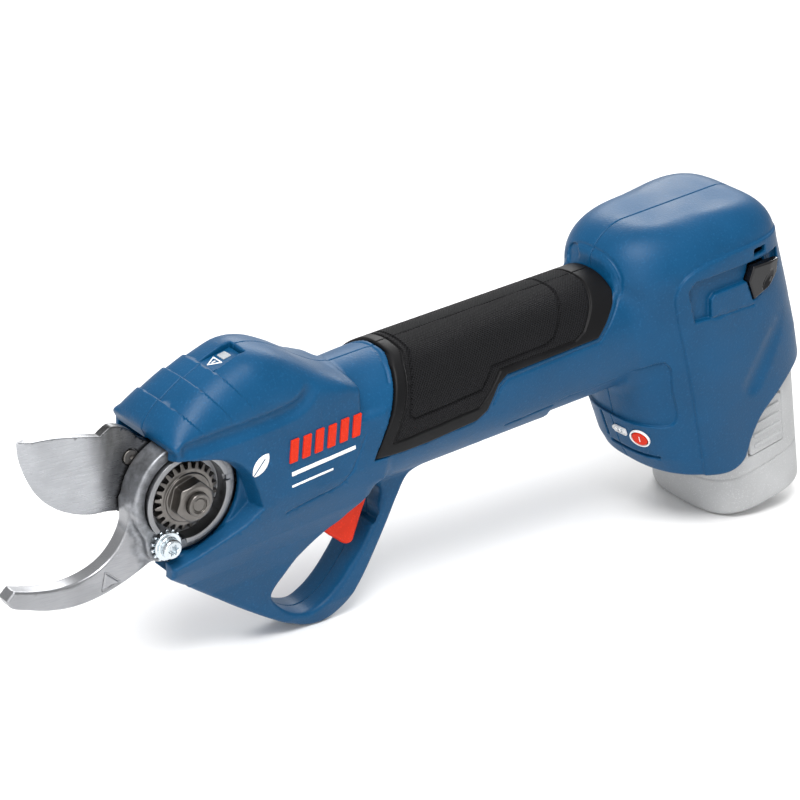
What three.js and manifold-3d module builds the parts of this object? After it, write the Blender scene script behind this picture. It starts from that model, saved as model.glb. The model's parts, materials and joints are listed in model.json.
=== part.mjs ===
// Battery electric pruner for orchards and vineyards.
// Everything is modelled in the handle frame: the blade pivot is the origin, X runs along the
// handle to the rear, Y runs across the tool (the nut side is -Y) and Z is up.
// The whole tool is then pitched so that it stands on its finger guard and its battery.
import * as THREE from "three";
import { mergeVertices } from "three/addons/utils/BufferGeometryUtils.js";
import Module from "manifold-3d";

const wasm = await Module();
wasm.setup();

// ---- driving dimensions, millimetres and degrees ----
const GAP = 0.3;
const WALL = 2.6;
const HEAD_HALF_WIDTH = 19.5;
const GUARD_HALF_WIDTH = 8;
const HANDLE_HALF_WIDTH = 21;
const HANDLE_HALF_HEIGHT = 23;
const HANDLE_SLOPE = -0.019;
const GRIP_PROUD = 0.8;
const GRIP_DEPTH = 1.3;
const BLADE_NEAR = -1.5;
const BLADE_FAR = 2.0;
const HOOK_NEAR = -7.8;
const HOOK_FAR = -1.8;
const BOSS_RADIUS = 19.4;
const BOSS_NEAR = -11.5;
const BOLT_RADIUS = 4;
const PINION_TEETH = 12;
const SECTOR_TEETH = 40;
const BEVEL_MODULE = 1.5;
const PINION_FACE = 8;
const PLANET_MODULE = 0.65;
const SUN_TEETH = 12;
const PLANET_TEETH = 15;
const RING_TEETH = 42;
const RING_OUTER = 15.1;
const FRAME_OUTER = 16.4;
const MOTOR_RADIUS = 15.5;
const MOTOR_START = 68;
const MOTOR_LENGTH = 48;
const BATTERY_LEAN = 6.4;
const BATTERY_FOOT_X = 250.5;
const BATTERY_FOOT_Z = -91;
const BATTERY_HALF_WIDTH = 26;
const BATTERY_HALF_DEPTH = 24;
const SHOULDER = 57;
const STEM_HALF_DEPTH = 19.6;
const STEM_HALF_WIDTH = 20.6;
const STEM_FORWARD = -2;
const BAY_ROOM = 1.3;
const CELL_RADIUS = 9.2;
const CELL_LENGTH = 65;
const STANDING_PITCH = 6.38;
const TRIGGER_HALF_WIDTH = 7;
const TRIGGER_PIN = [57.5, -24.8];

const DEG = Math.PI / 180;

// ---- materials ----
function material(color, roughness, metalness) {
  return new THREE.MeshStandardMaterial({ color, roughness, metalness });
}
const bluePlastic = material("#1f5f9e", 0.5, 0);
const blackRubber = material("#1b1b1d", 0.85, 0);
const redPlastic = material("#e2341d", 0.4, 0);
const blackPlastic = material("#161618", 0.3, 0);
const greyPlastic = material("#b9bbbc", 0.6, 0);
const brushedSteel = material("#b4b5b6", 0.35, 1);
const darkSteel = material("#55575a", 0.5, 1);
const zincSteel = material("#c9d3d8", 0.3, 1);
const gearSteel = material("#8b8d90", 0.4, 1);
const aluminium = material("#a5a8aa", 0.45, 1);
const copper = material("#b5713c", 0.4, 1);
const boardGreen = material("#1d5a37", 0.5, 0);
const clearLens = material("#9aa0a4", 0.2, 0);
const cellWrap = material("#2f6f8f", 0.45, 0);

// ---- solid helpers ----
// A closed solid from a three.js geometry, with its faces turned outwards.
function solid(geometry) {
  const bare = new THREE.BufferGeometry();
  bare.setAttribute("position", geometry.getAttribute("position").clone());
  if (geometry.index) bare.setIndex(geometry.index.clone());
  const merged = mergeVertices(bare, 1e-4);
  const vertProperties = new Float32Array(merged.getAttribute("position").array);
  const triVerts = new Uint32Array(merged.index.array);
  const made = new wasm.Manifold(new wasm.Mesh({ numProp: 3, vertProperties, triVerts }));
  if (made.volume() > 0) return made;
  for (let i = 0; i < triVerts.length; i += 3) {
    [triVerts[i + 1], triVerts[i + 2]] = [triVerts[i + 2], triVerts[i + 1]];
  }
  return new wasm.Manifold(new wasm.Mesh({ numProp: 3, vertProperties, triVerts }));
}

// A plate with an outline in the XZ plane, from y = low to y = high.
function plate(outline, low, high, bevel = 0) {
  const shape = outline instanceof THREE.Shape ? outline : new THREE.Shape(outline.map(flatPoint));
  const options = {
    depth: high - low - 2 * bevel,
    bevelEnabled: bevel > 0,
    bevelThickness: bevel,
    bevelSize: bevel,
    bevelOffset: -bevel,
    bevelSegments: 2,
    curveSegments: 10,
  };
  const geometry = new THREE.ExtrudeGeometry(shape, options);
  geometry.rotateX(Math.PI / 2);
  geometry.translate(0, high - bevel, 0);
  return solid(geometry);
}

function flatPoint(pair) {
  return new THREE.Vector2(pair[0], pair[1]);
}

// A smooth closed outline through the given points.
function smoothOutline(points, divisions) {
  const curve = new THREE.CatmullRomCurve3(
    points.map((p) => new THREE.Vector3(p[0], p[1], 0)), true, "centripetal");
  return curve.getPoints(divisions).slice(0, -1).map((p) => [p.x, p.y]);
}

// A smooth open stretch of outline through the given points.
function smoothStretch(points, divisions) {
  const curve = new THREE.CatmullRomCurve3(
    points.map((p) => new THREE.Vector3(p[0], p[1], 0)), false, "centripetal");
  return curve.getPoints(divisions).map((p) => [p.x, p.y]);
}

// A turned piece about the Y axis through (x, z). The profile is [radius, y] pairs.
function turnedY(profile, x, z, segments) {
  const geometry = new THREE.LatheGeometry(profile.map(flatPoint), segments);
  geometry.translate(x, 0, z);
  return solid(geometry);
}

// A turned piece about the X axis through (y, z) = (0, 0). The profile is [radius, x] pairs.
function turnedX(profile, segments) {
  const geometry = new THREE.LatheGeometry(profile.map(flatPoint), segments);
  geometry.rotateZ(-Math.PI / 2);
  return solid(geometry);
}

function rodY(x, z, radius, low, high, segments = 20) {
  return turnedY([[0, low], [radius, low], [radius, high], [0, high]], x, z, segments);
}

function rodX(radius, low, high, segments = 20) {
  return turnedX([[0, low], [radius, low], [radius, high], [0, high]], segments);
}

function box(x0, x1, y0, y1, z0, z1) {
  const geometry = new THREE.BoxGeometry(x1 - x0, y1 - y0, z1 - z0);
  geometry.translate((x0 + x1) / 2, (y0 + y1) / 2, (z0 + z1) / 2);
  return solid(geometry);
}

// A skin over a row of equal-length rings of points, closed by a fan at each end.
function loft(rings) {
  const count = rings[0].length;
  const positions = rings.flat(2);
  const index = [];
  for (let r = 0; r + 1 < rings.length; r += 1) {
    for (let i = 0; i < count; i += 1) {
      const a = r * count + i;
      const b = r * count + ((i + 1) % count);
      index.push(a, b, b + count, a, b + count, a + count);
    }
  }
  const last = (rings.length - 1) * count;
  for (let i = 1; i + 1 < count; i += 1) {
    index.push(0, i + 1, i);
    index.push(last, last + i, last + i + 1);
  }
  const geometry = new THREE.BufferGeometry();
  geometry.setAttribute("position", new THREE.Float32BufferAttribute(positions, 3));
  geometry.setIndex(index);
  return solid(geometry);
}

// A point on a rounded oblong with half sizes a and b and the given squareness.
function oblongPoint(turn, a, b, squareness) {
  const c = Math.cos(turn);
  const s = Math.sin(turn);
  const u = Math.sign(c) * a * Math.abs(c) ** (2 / squareness);
  const v = Math.sign(s) * b * Math.abs(s) ** (2 / squareness);
  return [u, v];
}

// The largest body of a solid, without the loose slivers that a cut can leave.
function mainBody(made) {
  return made.decompose().reduce((best, next) => (next.volume() > best.volume() ? next : best));
}

function meshOf(name, made, look) {
  const data = made.getMesh();
  const geometry = new THREE.BufferGeometry();
  geometry.setAttribute("position", new THREE.BufferAttribute(data.vertProperties, 3));
  geometry.setIndex(new THREE.BufferAttribute(data.triVerts, 1));
  geometry.computeVertexNormals();
  const mesh = new THREE.Mesh(geometry, look);
  mesh.name = name;
  return mesh;
}

const tool = new THREE.Group();
function add(name, made, look) {
  tool.add(meshOf(name, made, look));
}

// ---- handle, head and battery housing: outer forms and hollows ----
function handleCentre(x) {
  return -2.3 + HANDLE_SLOPE * (x - 83);
}

// The handle barrel between two stations, grown by the given amount.
function handleBarrel(from, to, grow, rings = 2) {
  const sections = [];
  for (let r = 0; r <= rings; r += 1) {
    const x = from + ((to - from) * r) / rings;
    const ring = [];
    for (let i = 0; i < 20; i += 1) {
      const [v, u] = oblongPoint((i * Math.PI) / 10, HANDLE_HALF_WIDTH + grow,
        HANDLE_HALF_HEIGHT + grow, 2.2);
      ring.push([x, v, handleCentre(x) + u]);
    }
    sections.push(ring);
  }
  return loft(sections);
}

// Levels of the battery housing: [z, front x, rear x, half width].
const HOUSING_LEVELS = [
  [34.8, 200, 245, 15],
  [33.4, 191.5, 251.5, 21.5],
  [28, 185.5, 257, 26.8],
  [18, 181.5, 260, 29],
  [0, 182.5, 264, 30],
  [-20, 186.5, 267.5, 30.5],
  [-42, 191.5, 271.5, 30.5],
  [-58, 197, 274.5, 30.5],
  [-70, 204, 276, 30.5],
];
const FRONT_SQUARENESS = 2.7;
const REAR_SQUARENESS = 3.5;
function batteryHousingForm(inset) {
  const rings = HOUSING_LEVELS.map(([z, front, rear, half], level) => {
    const centre = (front + rear) / 2;
    const ring = [];
    for (let i = 0; i < 24; i += 1) {
      const turn = (i * Math.PI) / 12;
      const squareness = Math.cos(turn) > 0 ? REAR_SQUARENESS : FRONT_SQUARENESS;
      const [u, v] = oblongPoint(turn, (rear - front) / 2 - inset, half - inset, squareness);
      ring.push([centre + u, v, level === 0 ? z - inset : z - (z > 30 ? inset : 0)]);
    }
    return ring;
  });
  return loft(rings);
}

const HEAD_TOP = smoothStretch([
  [-6, 19.4], [-7.4, 22.6], [-3.6, 28], [8, 34.4], [24, 39.4], [31, 40.6], [38, 39.2], [46, 34.6],
  [56, 27.4], [66, 22], [80, 19.6],
], 14);
const GUARD_OUTER = smoothStretch([
  [99, -25.4], [92, -28.4], [87.6, -34.6], [83, -42.6], [76.4, -53.4], [69.6, -63.4], [63.4, -70.2],
  [56.6, -73.6], [50, -73.3], [41, -69], [25, -57.5], [6, -41.5], [-10, -27],
], 18);
const FINGER_LOOP = smoothOutline([
  [33, -53.5], [39, -46.5], [46, -40.5], [54, -35.5], [64, -31.5], [74, -28.5], [80, -28.6],
  [80.6, -33], [77, -40.6], [71.4, -48.6], [66, -55], [60, -61], [54, -65], [48, -66.6],
  [42, -64.6], [36, -59.5],
], 24);
// Half width of head and guard against height: [half width, z].
const HEAD_WIDTHS = [
  [8, 42], [12.5, 38.6], [16.2, 33], [18.6, 26], [HEAD_HALF_WIDTH, 18], [HEAD_HALF_WIDTH, -11],
  [18, -18.5], [15.7, -26], [11.6, -33.5], [9.4, -42], [8.3, -54], [GUARD_HALF_WIDTH, -66], [5.6, -75],
];
function widthForm(inset) {
  const right = HEAD_WIDTHS.map(([half, z]) => [half - inset, z]);
  const left = right.map(([half, z]) => [-half, z]).reverse();
  const shape = new THREE.Shape(right.concat(left).map(flatPoint));
  const geometry = new THREE.ExtrudeGeometry(shape, { depth: 160, bevelEnabled: false });
  geometry.rotateX(Math.PI / 2);
  geometry.rotateZ(Math.PI / 2);
  geometry.translate(-40, 0, 0);
  return solid(geometry);
}
const headOutline = HEAD_TOP.concat([[99, 8]], GUARD_OUTER);
const STRAP_START = 76;
const STRAP_TOP = -24.4;
const strapSides = box(STRAP_START - 2, 140, GUARD_HALF_WIDTH + 0.2, 40, -100, STRAP_TOP)
  .add(box(STRAP_START - 2, 140, -40, -GUARD_HALF_WIDTH - 0.2, -100, STRAP_TOP));
const headForm = plate(headOutline, -30, 30)
  .intersect(widthForm(0))
  .subtract(plate(FINGER_LOOP, -30, 30))
  .subtract(box(STRAP_START, 140, -40, 40, STRAP_TOP, 60))
  .subtract(box(66, 140, -40, 40, 8, 60))
  .subtract(strapSides);
const HEAD_HOLLOW = [
  [-30, 16], [-4.4, 21.6], [-1.2, 26], [9, 31.6], [24, 36.6], [31, 37.8], [37, 36.3],
  [44.6, 31.6], [54.6, 24.6], [63.6, 19.4], [63.6, -24], [60, -28], [51, -32.4], [42, -39], [33, -47.5], [26, -53.8], [8, -38.6], [-30, -22.5],
];
const headHollow = plate(HEAD_HOLLOW, -30, 30).intersect(widthForm(WALL));
const outerForm = headForm
  .add(handleBarrel(52, 196, 0))
  .add(batteryHousingForm(0));
const hollowForm = headHollow
  .add(handleBarrel(62, 200, -WALL))
  .add(batteryHousingForm(WALL));

// ---- the rubber grip's patch on the handle, seen from the side ----
const GRIP_SIDE = [
  [67, 26], [70, 22], [74, 17], [76.5, 10], [76, 3], [72, -4], [70, -9.5], [92, -9.8], [114, -8.4],
  [119, -5], [124, 3], [128, 4.6], [172, 4], [176.5, 6], [178.6, 12], [177, 20], [173, 26],
];
const gripRegion = plate(GRIP_SIDE, -30, 30);
const gripSkin = handleBarrel(60, 200, GRIP_PROUD)
  .subtract(handleBarrel(50, 210, -GRIP_DEPTH))
  .intersect(gripRegion);
const gripSeat = plate(smoothOutlineOffset(GRIP_SIDE, GAP), -30, 30)
  .subtract(handleBarrel(50, 210, -GRIP_DEPTH - GAP));

// The same outline moved outwards by a small distance.
function smoothOutlineOffset(points, distance) {
  const count = points.length;
  let area = 0;
  for (let i = 0; i < count; i += 1) {
    const [x0, z0] = points[i];
    const [x1, z1] = points[(i + 1) % count];
    area += x0 * z1 - x1 * z0;
  }
  const side = Math.sign(area);
  return points.map(([x, z], i) => {
    const [px, pz] = points[(i + count - 1) % count];
    const [nx, nz] = points[(i + 1) % count];
    const length = Math.hypot(nx - px, nz - pz);
    return [x + (side * distance * (nz - pz)) / length, z - (side * distance * (nx - px)) / length];
  });
}

// A rounded upright form on the battery's own axis: [height, half depth, half width].
function batteryForm(levels, offset = 0) {
  return alongBattery(loft(levels.map(([z, a, b]) => {
    const ring = [];
    for (let i = 0; i < 24; i += 1) {
      const [u, v] = oblongPoint((i * Math.PI) / 12, a, b, 3);
      ring.push([u + offset, v, z]);
    }
    return ring;
  })));
}

// The bay for the battery pack, with running room all round.
function bayForm() {
  return batteryForm([
    [-10, BATTERY_HALF_DEPTH + BAY_ROOM, BATTERY_HALF_WIDTH + BAY_ROOM],
    [SHOULDER + BAY_ROOM, BATTERY_HALF_DEPTH + BAY_ROOM, BATTERY_HALF_WIDTH + BAY_ROOM],
  ]).add(batteryForm([
    [SHOULDER - 5, STEM_HALF_DEPTH + BAY_ROOM, STEM_HALF_WIDTH + BAY_ROOM],
    [96, STEM_HALF_DEPTH + BAY_ROOM, STEM_HALF_WIDTH + BAY_ROOM],
  ], STEM_FORWARD));
}

const RIVET_AT = [-13.4, 15];
const LOCK_AT = [-9.6, -14.4];
const lockAngle = Math.atan2(LOCK_AT[1], LOCK_AT[0]);

// ---- openings cut through the housing ----
// The pocket on the nut side, which leaves the nut, the ring and the lock screw in reach.
const POCKET = [
  [-40, 18], [-5, 17.6], [1, 15.6], [9, 13], [16, 9.4], [20.5, 4], [23.6, -4], [25, -11],
  [18, -15.6], [0, -21.5], [-40, -30],
];
const POCKET_FLOOR = -12.8;
const pocketCut = plate(POCKET, -40, POCKET_FLOOR);
// Clearance round the counter blade's boss and the lock screw's boss.
const bossRoom = rodY(0, 0, BOSS_RADIUS + 0.6, -40, 40, 28)
  .add(rodY(LOCK_AT[0], LOCK_AT[1], 7.2, -40, 40, 20));
const pocketWall = plate([
  [-10, -27], [0, -24.5], [20, -18.6], [27.6, -12], [26, -3], [22.6, 5.6], [17.8, 11.6], [10, 15.4],
  [3, 17.6], [3, 10], [12, 0], [0, -12], [-10, -16],
], -HEAD_HALF_WIDTH, POCKET_FLOOR + 1.8).subtract(bossRoom);
// The front of the head is open between its two side walls for the blades to swing in.
const mouthCut = plate([
  [-40, 18.6], [-3.5, 18.6], [2, 15.5], [2, -33], [-12, -40], [-40, -40],
], POCKET_FLOOR + 1.8, HEAD_HALF_WIDTH - WALL);
// The housing ends here above the battery, and is cut up at the rear for the release buttons.
const HOUSING_FOOT = [
  [150, -64], [198, -64.4], [214, -66.4], [228, -67], [232.5, -63.5], [235.5, -56],
  [240, -48.5], [248, -42], [259, -35], [300, -28], [300, -140], [150, -140],
];
const footCut = plate(HOUSING_FOOT, -60, 60);
// The slot under the handle for the trigger, which leaves the guard's rear strap whole.
const triggerCut = box(50.6, 79.5, -TRIGGER_HALF_WIDTH - 0.4, TRIGGER_HALF_WIDTH + 0.4, -42, -18);

// ---- battery frame: its own axis leans back at the foot ----
function alongBattery(made) {
  return made
    .rotate([0, -BATTERY_LEAN, 0])
    .translate([BATTERY_FOOT_X, 0, BATTERY_FOOT_Z]);
}

// ---- screws that close the two halves, driven from the far side: [x, z, half width there] ----
const HOUSING_SCREWS = [
  [43, 25.5, 18.2], [21, -42, 10.6], [100, -19.4, 15.4], [166, -17.8, 16.2], [226, 24, 27.2],
  [199.5, -30, 26.5],
];
let leftExtra = null;
let rightExtra = null;
let rightCuts = null;
let leftCuts = null;
const PARTING = 0.15;
HOUSING_SCREWS.forEach(([x, z, half], i) => {
  const leftBoss = rodY(x, z, 3.1, -half, -PARTING, 12);
  const rightBoss = rodY(x, z, 3.7, PARTING, half, 12);
  const leftHole = rodY(x, z, 1.6, -half + 4, 2, 12);
  const rightHole = rodY(x, z, 1.7, -1, half + 4, 12).add(rodY(x, z, 3.1, half - 3.2, half + 6, 12));
  leftExtra = leftExtra ? leftExtra.add(leftBoss) : leftBoss;
  rightExtra = rightExtra ? rightExtra.add(rightBoss) : rightBoss;
  leftCuts = leftCuts ? leftCuts.add(leftHole) : leftHole;
  rightCuts = rightCuts ? rightCuts.add(rightHole) : rightHole;
  const drive = plate([
    [x + 1.5, z], [x + 0.45, z + 0.45], [x, z + 1.5], [x - 0.45, z + 0.45], [x - 1.5, z],
    [x - 0.45, z - 0.45], [x, z - 1.5], [x + 0.45, z - 0.45],
  ], half - 2, half + 3);
  const screw = turnedY([
    [0, -half + 6], [1.3, -half + 6], [1.3, half - 2.9], [2.8, half - 2.9], [2.8, half - 1.4],
    [2.1, half - 0.8], [0, half - 0.8],
  ], x, z, 12).subtract(drive);
  add("housing_screw_" + (i + 1), screw, darkSteel);
});

// ---- bosses that hold the ends of the trigger's pin ----
const PIN_HALF_LENGTH = 10.5;
const PIN_RADIUS = 1.5;
[-1, 1].forEach((side) => {
  const near = side * (TRIGGER_HALF_WIDTH + 0.7);
  const far = side * HEAD_HALF_WIDTH;
  const end = side * (PIN_HALF_LENGTH + GAP);
  const boss = rodY(TRIGGER_PIN[0], TRIGGER_PIN[1], 3.2, Math.min(near, far), Math.max(near, far), 12);
  const hole = rodY(TRIGGER_PIN[0], TRIGGER_PIN[1], PIN_RADIUS + 0.2, Math.min(0, end), Math.max(0, end), 12);
  if (side < 0) {
    leftExtra = leftExtra.add(boss);
    leftCuts = leftCuts.add(hole);
  } else {
    rightExtra = rightExtra.add(boss);
    rightCuts = rightCuts.add(hole);
  }
});

// ---- parts let into the housing wall ----
const BUTTON_AT = [195.2, -12.6, -49.2];
const BUTTON_OUT = [-0.87, -0.33, -0.36];
const GAUGE_AT = [193.4, -3.6, -48.6];
const GAUGE_OUT = [-0.93, -0.06, -0.36];
// Moves a piece made about the origin, facing +Z, to a place on the wall, facing outwards.
function ontoWall(made, at, out) {
  const turn = new THREE.Matrix4().makeRotationFromQuaternion(new THREE.Quaternion()
    .setFromUnitVectors(new THREE.Vector3(0, 0, 1), new THREE.Vector3(...out).normalize()));
  turn.setPosition(new THREE.Vector3(...at));
  return made.transform(turn.elements.slice());
}
function panelDisc(radius, low, high, segments = 24) {
  const geometry = new THREE.CylinderGeometry(radius, radius, high - low, segments);
  geometry.rotateX(Math.PI / 2);
  geometry.translate(0, 0, (low + high) / 2);
  return ontoWall(solid(geometry), BUTTON_AT, BUTTON_OUT);
}
const buttonHole = panelDisc(3.5, -8, 8);
const gaugeHole = ontoWall(box(-2.1, 2.1, -2.7, 2.7, -6, 6), GAUGE_AT, GAUGE_OUT);
const indicatorSeat = box(16.7, 31.3, -6.8, 6.8, 36.6, 45);
const lanyardSlot = box(233.5, 240.5, -36, -24, 17.6, 20.2);
const CLIP_SIDE = [
  [233.2, 14.6], [231.6, 9], [234.6, 1.4], [242.4, 4], [247, 8.4], [247, 13.4], [244.6, 16.4],
];
const clipSeat = plate(smoothOutlineOffset(CLIP_SIDE, GAP), -36, -26.2);
const L_RECESS = [
  [231.4, 16.2], [207.5, 17], [204, 14], [207, 1.2], [215, 0.2], [214.2, 8], [216.4, 9.4],
  [231.4, 9.2],
];
const keyRecess = plate(L_RECESS, -36, -28.6);

const shell = outerForm
  .subtract(hollowForm)
  .subtract(mouthCut)
  .subtract(footCut)
  .subtract(bayForm())
  .subtract(gripSeat);
const leftHalf = shell
  .add(leftExtra.intersect(outerForm).subtract(footCut))
  .add(pocketWall.intersect(outerForm))
  .subtract(leftCuts)
  .intersect(box(-60, 320, -60, -PARTING, -120, 60))
  .subtract(pocketCut)
  .subtract(triggerCut)
  .subtract(buttonHole)
  .subtract(gaugeHole)
  .subtract(indicatorSeat)
  .subtract(lanyardSlot)
  .subtract(clipSeat)
  .subtract(keyRecess);
// Room for the sector to swing inside the far side wall.
const sectorRoom = rodY(0, 0, 32.5, 2, 13.1, 32);
const rightHalf = shell
  .add(rightExtra.intersect(outerForm).subtract(footCut))
  .subtract(rightCuts)
  .subtract(sectorRoom)
  .intersect(box(-60, 320, PARTING, 60, -120, 60))
  .subtract(triggerCut)
  .subtract(indicatorSeat);
add("housing_left", mainBody(leftHalf), bluePlastic);
add("housing_right", mainBody(rightHalf), bluePlastic);
add("grip_left", gripSkin.intersect(box(0, 320, -60, -PARTING, -120, 60)), blackRubber);
add("grip_right", gripSkin.intersect(box(0, 320, PARTING, 60, -120, 60)), blackRubber);

// ---- blades ----
const BLADE_OUTLINE = smoothStretch([
  [-52.5, 34.6], [-40.8, 31.8], [-30, 28.6], [-23.8, 26],
], 6).concat(smoothStretch([[-22.6, 26.8], [-19.7, 28.2], [-17, 27.6], [-12.8, 24.8], [-8.8, 20.2],
  [-4.6, 17.8], [2, 17], [10, 13.6], [15.4, 8.6], [17.4, 1], [15.6, -8], [9.4, -14.8], [0, -17.4], [-8, -15.2],
  [-15, -8.6], [-18.4, -3.4]], 20))
  .concat(smoothStretch([[-24, -2.4], [-29.5, -1.4], [-36.7, 1.6], [-43.6, 6.6], [-49, 13.4],
    [-52.6, 22], [-54.2, 30], [-54.1, 33.8]], 12));
const pivotBore = rodY(0, 0, BOLT_RADIUS + 0.05, -40, 40, 28);
const bladePlate = plate(BLADE_OUTLINE, BLADE_NEAR, BLADE_FAR)
  .subtract(rodY(RIVET_AT[0], RIVET_AT[1], 2.9, -6, 6, 20))
  .subtract(rodY(10.5, -4, 1.7, -6, 6, 12))
  .subtract(rodY(0, -11.5, 1.7, -6, 6, 12))
  .subtract(pivotBore);
add("cutting_blade", bladePlate, brushedSteel);
add("blade_rivet", turnedY([
  [0, BLADE_NEAR - 0.2], [2.5, BLADE_NEAR - 0.2], [2.5, BLADE_FAR + 0.6], [0, BLADE_FAR + 0.6],
], RIVET_AT[0], RIVET_AT[1], 20), darkSteel);

const HOOK_OUTER = smoothStretch([
  [-66.5, -15.4], [-65, -18.6], [-59, -21.8], [-51.9, -24.9], [-42.8, -27.1], [-33.4, -27.2],
  [-23.6, -25.4], [-13.6, -22], [-6, -18.4],
], 18);
const HOOK_INNER = smoothStretch([
  [-19.6, 3], [-20.4, -4.3], [-23.6, -10.4], [-28.3, -14.9], [-33, -17.2], [-40, -18.5],
  [-47.5, -18.2], [-56.5, -15.8], [-63.4, -13],
], 16);
const EARS = [
  [12.5, 12], [21, 12.4], [30.6, 12.4], [30.6, 20], [20, 20], [7, 18.2],
];
const EARS_LOW = [
  [12.5, -12], [21, -12.4], [30.6, -12.4], [30.6, -20], [20, -20], [7, -18.2],
];
const EAR_SCREWS = [[26.4, 16.2], [26.4, -16.2]];
const ringRecess = turnedY([
  [0, -30], [15.6, -30], [15.6, -7.4], [0, -7.4],
], 0, 0, 28);
let hookBody = plate(HOOK_OUTER.concat([[-2, -12], [-6, 4], [-12, 6]], HOOK_INNER), HOOK_NEAR, HOOK_FAR)
  .add(turnedY([
    [0, HOOK_FAR], [BOSS_RADIUS - 0.6, HOOK_FAR], [BOSS_RADIUS, HOOK_FAR - 0.6],
    [BOSS_RADIUS, BOSS_NEAR + 1], [BOSS_RADIUS - 1, BOSS_NEAR], [0, BOSS_NEAR],
  ], 0, 0, 32))
  .add(plate(EARS, HOOK_NEAR, HOOK_FAR))
  .add(plate(EARS_LOW, HOOK_NEAR, HOOK_FAR))
  .add(rodY(LOCK_AT[0], LOCK_AT[1], 6.4, BOSS_NEAR, HOOK_FAR, 24))
  .subtract(ringRecess)
  .subtract(pivotBore)
  .subtract(rodY(LOCK_AT[0], LOCK_AT[1], 1.9, -30, 0, 16));
EAR_SCREWS.forEach(([x, z]) => {
  hookBody = hookBody.subtract(rodY(x, z, 1.9, -12, 0, 12));
});
add("counter_blade", hookBody, brushedSteel);

// Thin pressed cup that lines the boss and keeps the nut's teeth in reach of the lock washer.
const cupGeometry = new THREE.LatheGeometry([
  [8, -7.7], [15.2, -7.7], [15.2, -13.4], [16.6, -13.4], [16.6, -14.4], [14.2, -14.4],
  [14.2, -8.7], [8, -8.7], [8, -7.7],
].map(flatPoint), 28);
const washerGap = rodY(LOCK_AT[0], LOCK_AT[1], 7.2, -30, 0, 20);
add("clamp_ring", solid(cupGeometry).subtract(washerGap), zincSteel);

// Flanged hexagon nut with radial teeth round its flange.
const NUT_TOOTH_COUNT = 24;
const NUT_ACROSS_FLATS = 13;
function hexagon(acrossFlats, turn) {
  const points = [];
  for (let i = 0; i < 6; i += 1) {
    const angle = turn + (i * Math.PI) / 3;
    points.push([(acrossFlats / 2 / Math.cos(Math.PI / 6)) * Math.cos(angle),
      (acrossFlats / 2 / Math.cos(Math.PI / 6)) * Math.sin(angle)]);
  }
  return points;
}
function ratchetOutline(teeth, inner, outer, centreX, centreZ, turn) {
  const points = [];
  for (let i = 0; i < teeth; i += 1) {
    const step = (2 * Math.PI) / teeth;
    const angle = turn + i * step;
    [[-0.3, inner], [-0.17, outer], [0.17, outer], [0.3, inner]].forEach(([part, radius]) => {
      points.push([centreX + radius * Math.cos(angle + part * step),
        centreZ + radius * Math.sin(angle + part * step)]);
    });
  }
  return points;
}
const nut = plate(ratchetOutline(NUT_TOOTH_COUNT, 10.2, 12.2, 0, 0,
  lockAngle + Math.PI / NUT_TOOTH_COUNT), -12.6, -9)
  .add(plate(hexagon(NUT_ACROSS_FLATS, 0.2), -18.2, -12.6))
  .subtract(rodY(0, 0, BOLT_RADIUS + 0.05, -30, 0, 28));
add("pivot_nut", nut, darkSteel);
// Shouldered bolt: the head sits in the far side of the gear frame.
add("pivot_bolt", turnedY([
  [0, 16.4], [8.4, 16.4], [9, 15.8], [9, 13], [BOLT_RADIUS, 13], [BOLT_RADIUS, -19.3],
  [BOLT_RADIUS - 0.7, -20], [2.2, -20], [2.2, -19.4], [0, -19.4],
], 0, 0, 28), darkSteel);
// Lock screw with its star washer, whose teeth sit between those of the nut.
add("lock_star_washer", plate(ratchetOutline(14, 4.3, 5.6, LOCK_AT[0], LOCK_AT[1],
  lockAngle + Math.PI), -12.9, -11.9)
  .subtract(rodY(LOCK_AT[0], LOCK_AT[1], 2.0, -30, 0, 16)), zincSteel);
const lockDrive = plate(ratchetOutline(6, 1.2, 1.9, LOCK_AT[0], LOCK_AT[1], 0), -20, -15.8);
add("lock_screw", turnedY([
  [0, -4], [1.6, -4], [1.6, -13.2], [5, -13.2], [5, -14], [3.4, -14.3], [3.2, -16.6], [2.4, -17.2],
  [0, -17.2],
], LOCK_AT[0], LOCK_AT[1], 24).subtract(lockDrive), zincSteel);

// ---- bevel pair: the sector turns with the blade about Y, the pinion turns about X ----
const SECTOR_RADIUS = (SECTOR_TEETH * BEVEL_MODULE) / 2;
const PINION_RADIUS = (PINION_TEETH * BEVEL_MODULE) / 2;
const TOOTH_ADDENDUM = 0.85;
const TOOTH_DEDENDUM = 1.15;
// One straight tapered tooth as a loft between two similar sections at the cone's ends.
function taperedTooth(place, inner, outer, halfPitchAngle) {
  const rings = [inner, outer].map((scale) => {
    const low = -TOOTH_DEDENDUM * BEVEL_MODULE - 0.4;
    const high = TOOTH_ADDENDUM * BEVEL_MODULE;
    return [[low, 1], [0, 0.8], [high, 0.36], [high, -0.36], [0, -0.8], [low, -1]]
      .map(([rise, side]) => place(scale, rise * scale, side * halfPitchAngle * 0.5));
  });
  return loft(rings);
}
const CONE_INNER = (SECTOR_RADIUS - PINION_FACE) / SECTOR_RADIUS;
const coneSlope = Math.atan2(PINION_RADIUS, SECTOR_RADIUS);
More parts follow.
